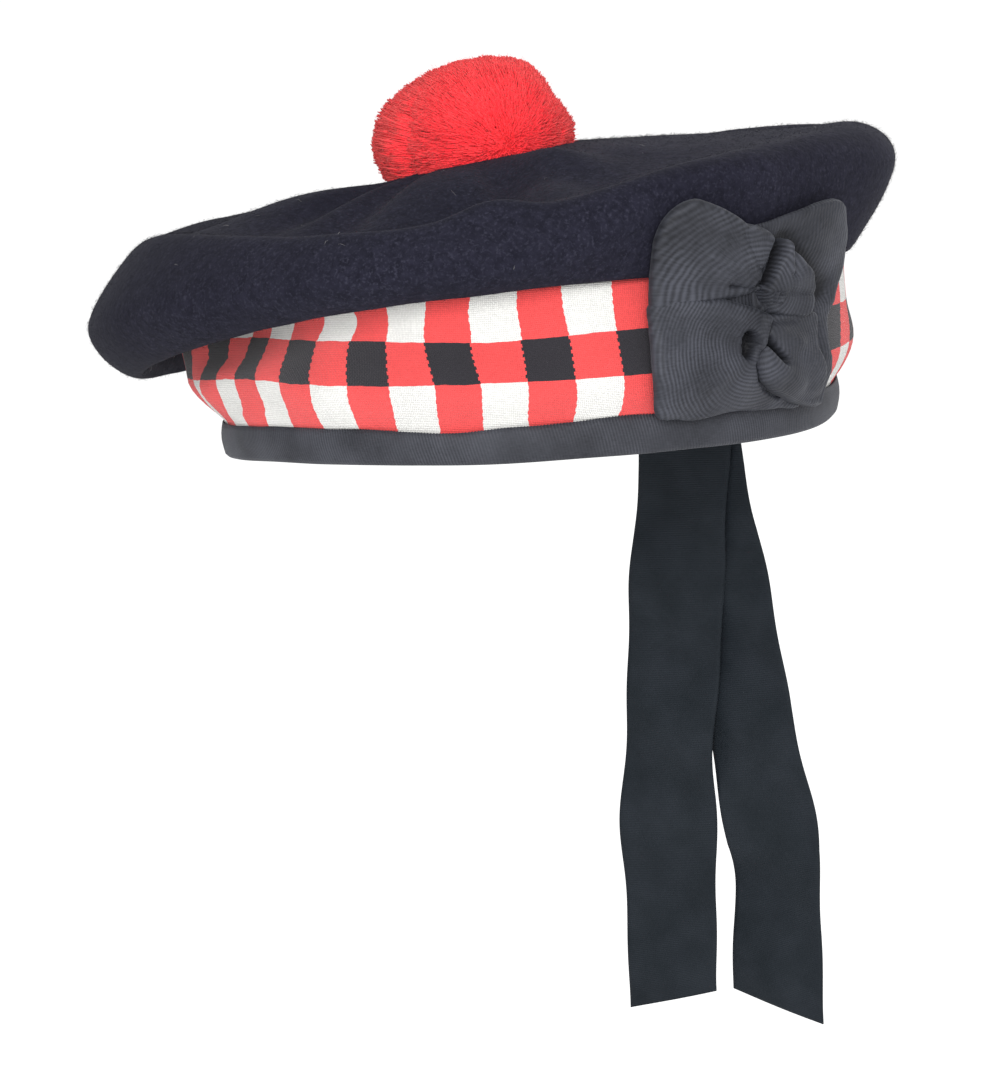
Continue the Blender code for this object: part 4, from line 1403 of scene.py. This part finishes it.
def bow_knot(material):
    """The small crumpled ribbon wrap over the pinch of the upper bow."""
    middle, half = KNOT_PLACE[0], KNOT_HALF[0]
    turns = np.linspace(0.0, math.pi, KNOT_STEPS + 1)[:, None]
    along = np.linspace(middle - half, middle + half, KNOT_STEPS + 1)
    place = (along - middle) / half
    share = KNOT_PLACE[1] - KNOT_HALF[1] * np.cos(turns) * (1 - 0.3 * place ** 2) + 0.012 * place
    cross = np.clip(1 - place ** 2, 0, 1) ** 0.35
    spread = np.stack(np.broadcast_arrays(place * 3.0, turns * 2.6, 0.0), -1)
    pleats = 1.3 * rough(spread, 1.2, 9) + 0.5 * np.sin(place * 6.0 + 2.2 * np.cos(turns))
    out = KNOT_STAND[0] + (KNOT_STAND[1] + pleats) * np.sin(turns) ** 0.6 * cross
    points = bow_point(along, out * MM, share)
    obj = grid_object("bow_knot_wrap", points, share * BOW_HEIGHT, along * BOW_WIDTH / 2, material)
    add_wall(obj, BOW_CLOTH, -1.0)
    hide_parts("bow_knot")


def bow(material):
    """The bow: a flat panel behind, two bows stacked on it, each a lobe to either side."""
    for ribbon in RIBBON_TABLE:
        bow_ribbon(ribbon, material)
    bow_knot(material)


def tail(name, table, layer, node, material):
    """One hanging ribbon, lapped on the back of the binding and free below the rim."""
    first_out = CLEARANCE + BINDING_WALL + BINDING_BULGE + CLEARANCE
    layer_out = first_out + layer * (CLEARANCE + TAIL_WALL) + TAIL_CLOTH
    half_width, half_length = RIM_WIDTH / 2 + layer_out, RIM_LENGTH / 2 + layer_out
    slant = TAIL_SLANT if table[-1].drift > 0 else -TAIL_SLANT
    drop = np.linspace(0.0, 1.0, TAIL_STEPS + 1)[:, None]
    across = np.linspace(-0.5, 0.5, TAIL_COLUMN_COUNT + 1)[None]
    course = table.along(drop)
    x = (across + course.drift) * TAIL_WIDTH
    wrapped = half_length * np.sqrt(1.0 - (x / half_width) ** 2)
    curve = np.maximum(1.0 - drop / TAIL_CLING, TAIL_CUP)
    y = half_length + (wrapped - half_length) * curve + course.out * TAIL_WIDTH
    height = BINDING_HEIGHT - TAIL_LOW - drop * TAIL_LENGTH
    height = height - slant * across * np.clip((drop - 1.0) / TAIL_CUT + 1.0, 0.0, 1.0)
    ripple = sum(
        row.height * np.sin(drop * row.down + across * row.across + layer * row.by_layer)
        for row in RIPPLE_TABLE
    )
    points = np.stack([x, y + ripple * smooth((drop - 0.06) / 0.3), height], -1)
    obj = grid_object(name, points, drop * TAIL_LENGTH, across * TAIL_WIDTH, material)
    add_wall(obj, TAIL_CLOTH, 1.0)
    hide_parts(node)


def make_camera():
    """The camera at the photograph's angle, aimed so that the bonnet lies where it does there."""
    turn, climb, roll = (math.radians(v) for v in (CAMERA_TURN, CAMERA_CLIMB, CAMERA_ROLL))
    flat = math.cos(climb)
    ahead = Vector((-math.sin(turn) * flat, math.cos(turn) * flat, -math.sin(climb)))
    level = Vector((math.cos(turn), math.sin(turn), 0.0))
    upright = level.cross(ahead)
    right = level * math.cos(roll) - upright * math.sin(roll)
    up = level * math.sin(roll) + upright * math.cos(roll)
    place = Vector((0.0, 0.0, AIM_HEIGHT)) - ahead * CAMERA_AWAY
    aside = AIM_PIXEL[0] - IMAGE_SIZE[0] / 2
    above = IMAGE_SIZE[1] / 2 - AIM_PIXEL[1]
    look = (ahead * FOCAL_PIXELS - right * aside - up * above).normalized()
    right = (right - look * right.dot(look)).normalized()
    up = right.cross(look)
    data = bpy.data.cameras.new("camera")
    data.sensor_width = SENSOR
    data.lens = FOCAL_PIXELS / max(IMAGE_SIZE) * SENSOR
    data.clip_start, data.clip_end = 0.05, 200.0
    camera = link_object("camera", data)
    axes = Matrix((right, up, -look)).transposed()
    camera.matrix_world = Matrix.Translation(place) @ axes.to_4x4()
    bpy.context.scene.camera = camera


def make_light(name, place, size, power):
    """A square soft light aimed at the bonnet."""
    data = bpy.data.lights.new(name, "AREA")
    data.shape = "SQUARE"
    data.size = size
    data.energy = power
    light = link_object(name, data)
    light.location = place
    light.rotation_mode = "QUATERNION"
    light.rotation_quaternion = (Vector(LIGHT_AIM) - Vector(place)).to_track_quat("-Z", "Y")


def make_stage():
    """A white floor under the hanging tails, a white surround and soft lights."""
    sides = ((-1, -1), (1, -1), (1, 1), (-1, 1))
    corners = [(x * FLOOR_HALF, y * FLOOR_HALF, FLOOR_LEVEL) for x, y in sides]
    mesh = fill_mesh("floor", corners, [np.array([[0, 1, 2, 3]])])
    mesh.materials.append(stage_finish())
    floor = link_object("floor", mesh)
    world = bpy.data.worlds.new("studio")
    world.use_nodes = True
    sky = world.node_tree.nodes["Background"].inputs
    sky["Color"].default_value = (1.0, 1.0, 1.0, 1.0)
    sky["Strength"].default_value = SKY_STRENGTH
    bpy.context.scene.world = world
    bpy.context.scene.view_settings.view_transform = "Standard"
    for light in LIGHT_TABLE:
        make_light(**vars(light))


make_camera()
make_stage()
crown_outside, crown_places = crown(wool_finish())
crown_hairs(crown_outside, crown_places, (fibre_finish(), lint_finish()))
diced_band(diced_finish())
rim_binding(ribbon_finish("binding_grosgrain", BINDING_DYES, BINDING_RIB, 0.15, 0.5, 0.25))
toorie(yarn_finish())
bow(ribbon_finish("bow_moire", BOW_DYES, BOW_RIB, 0.20, 1.4))
tail_cloth = ribbon_finish("tail_grosgrain", TAIL_DYES, TAIL_RIB, 0.10, 0.3)
tail("tail_right_ribbon", RIGHT_TAIL_TABLE, 0, "tail_right", tail_cloth)
tail("tail_left_ribbon", LEFT_TAIL_TABLE, 1, "tail_left", tail_cloth)
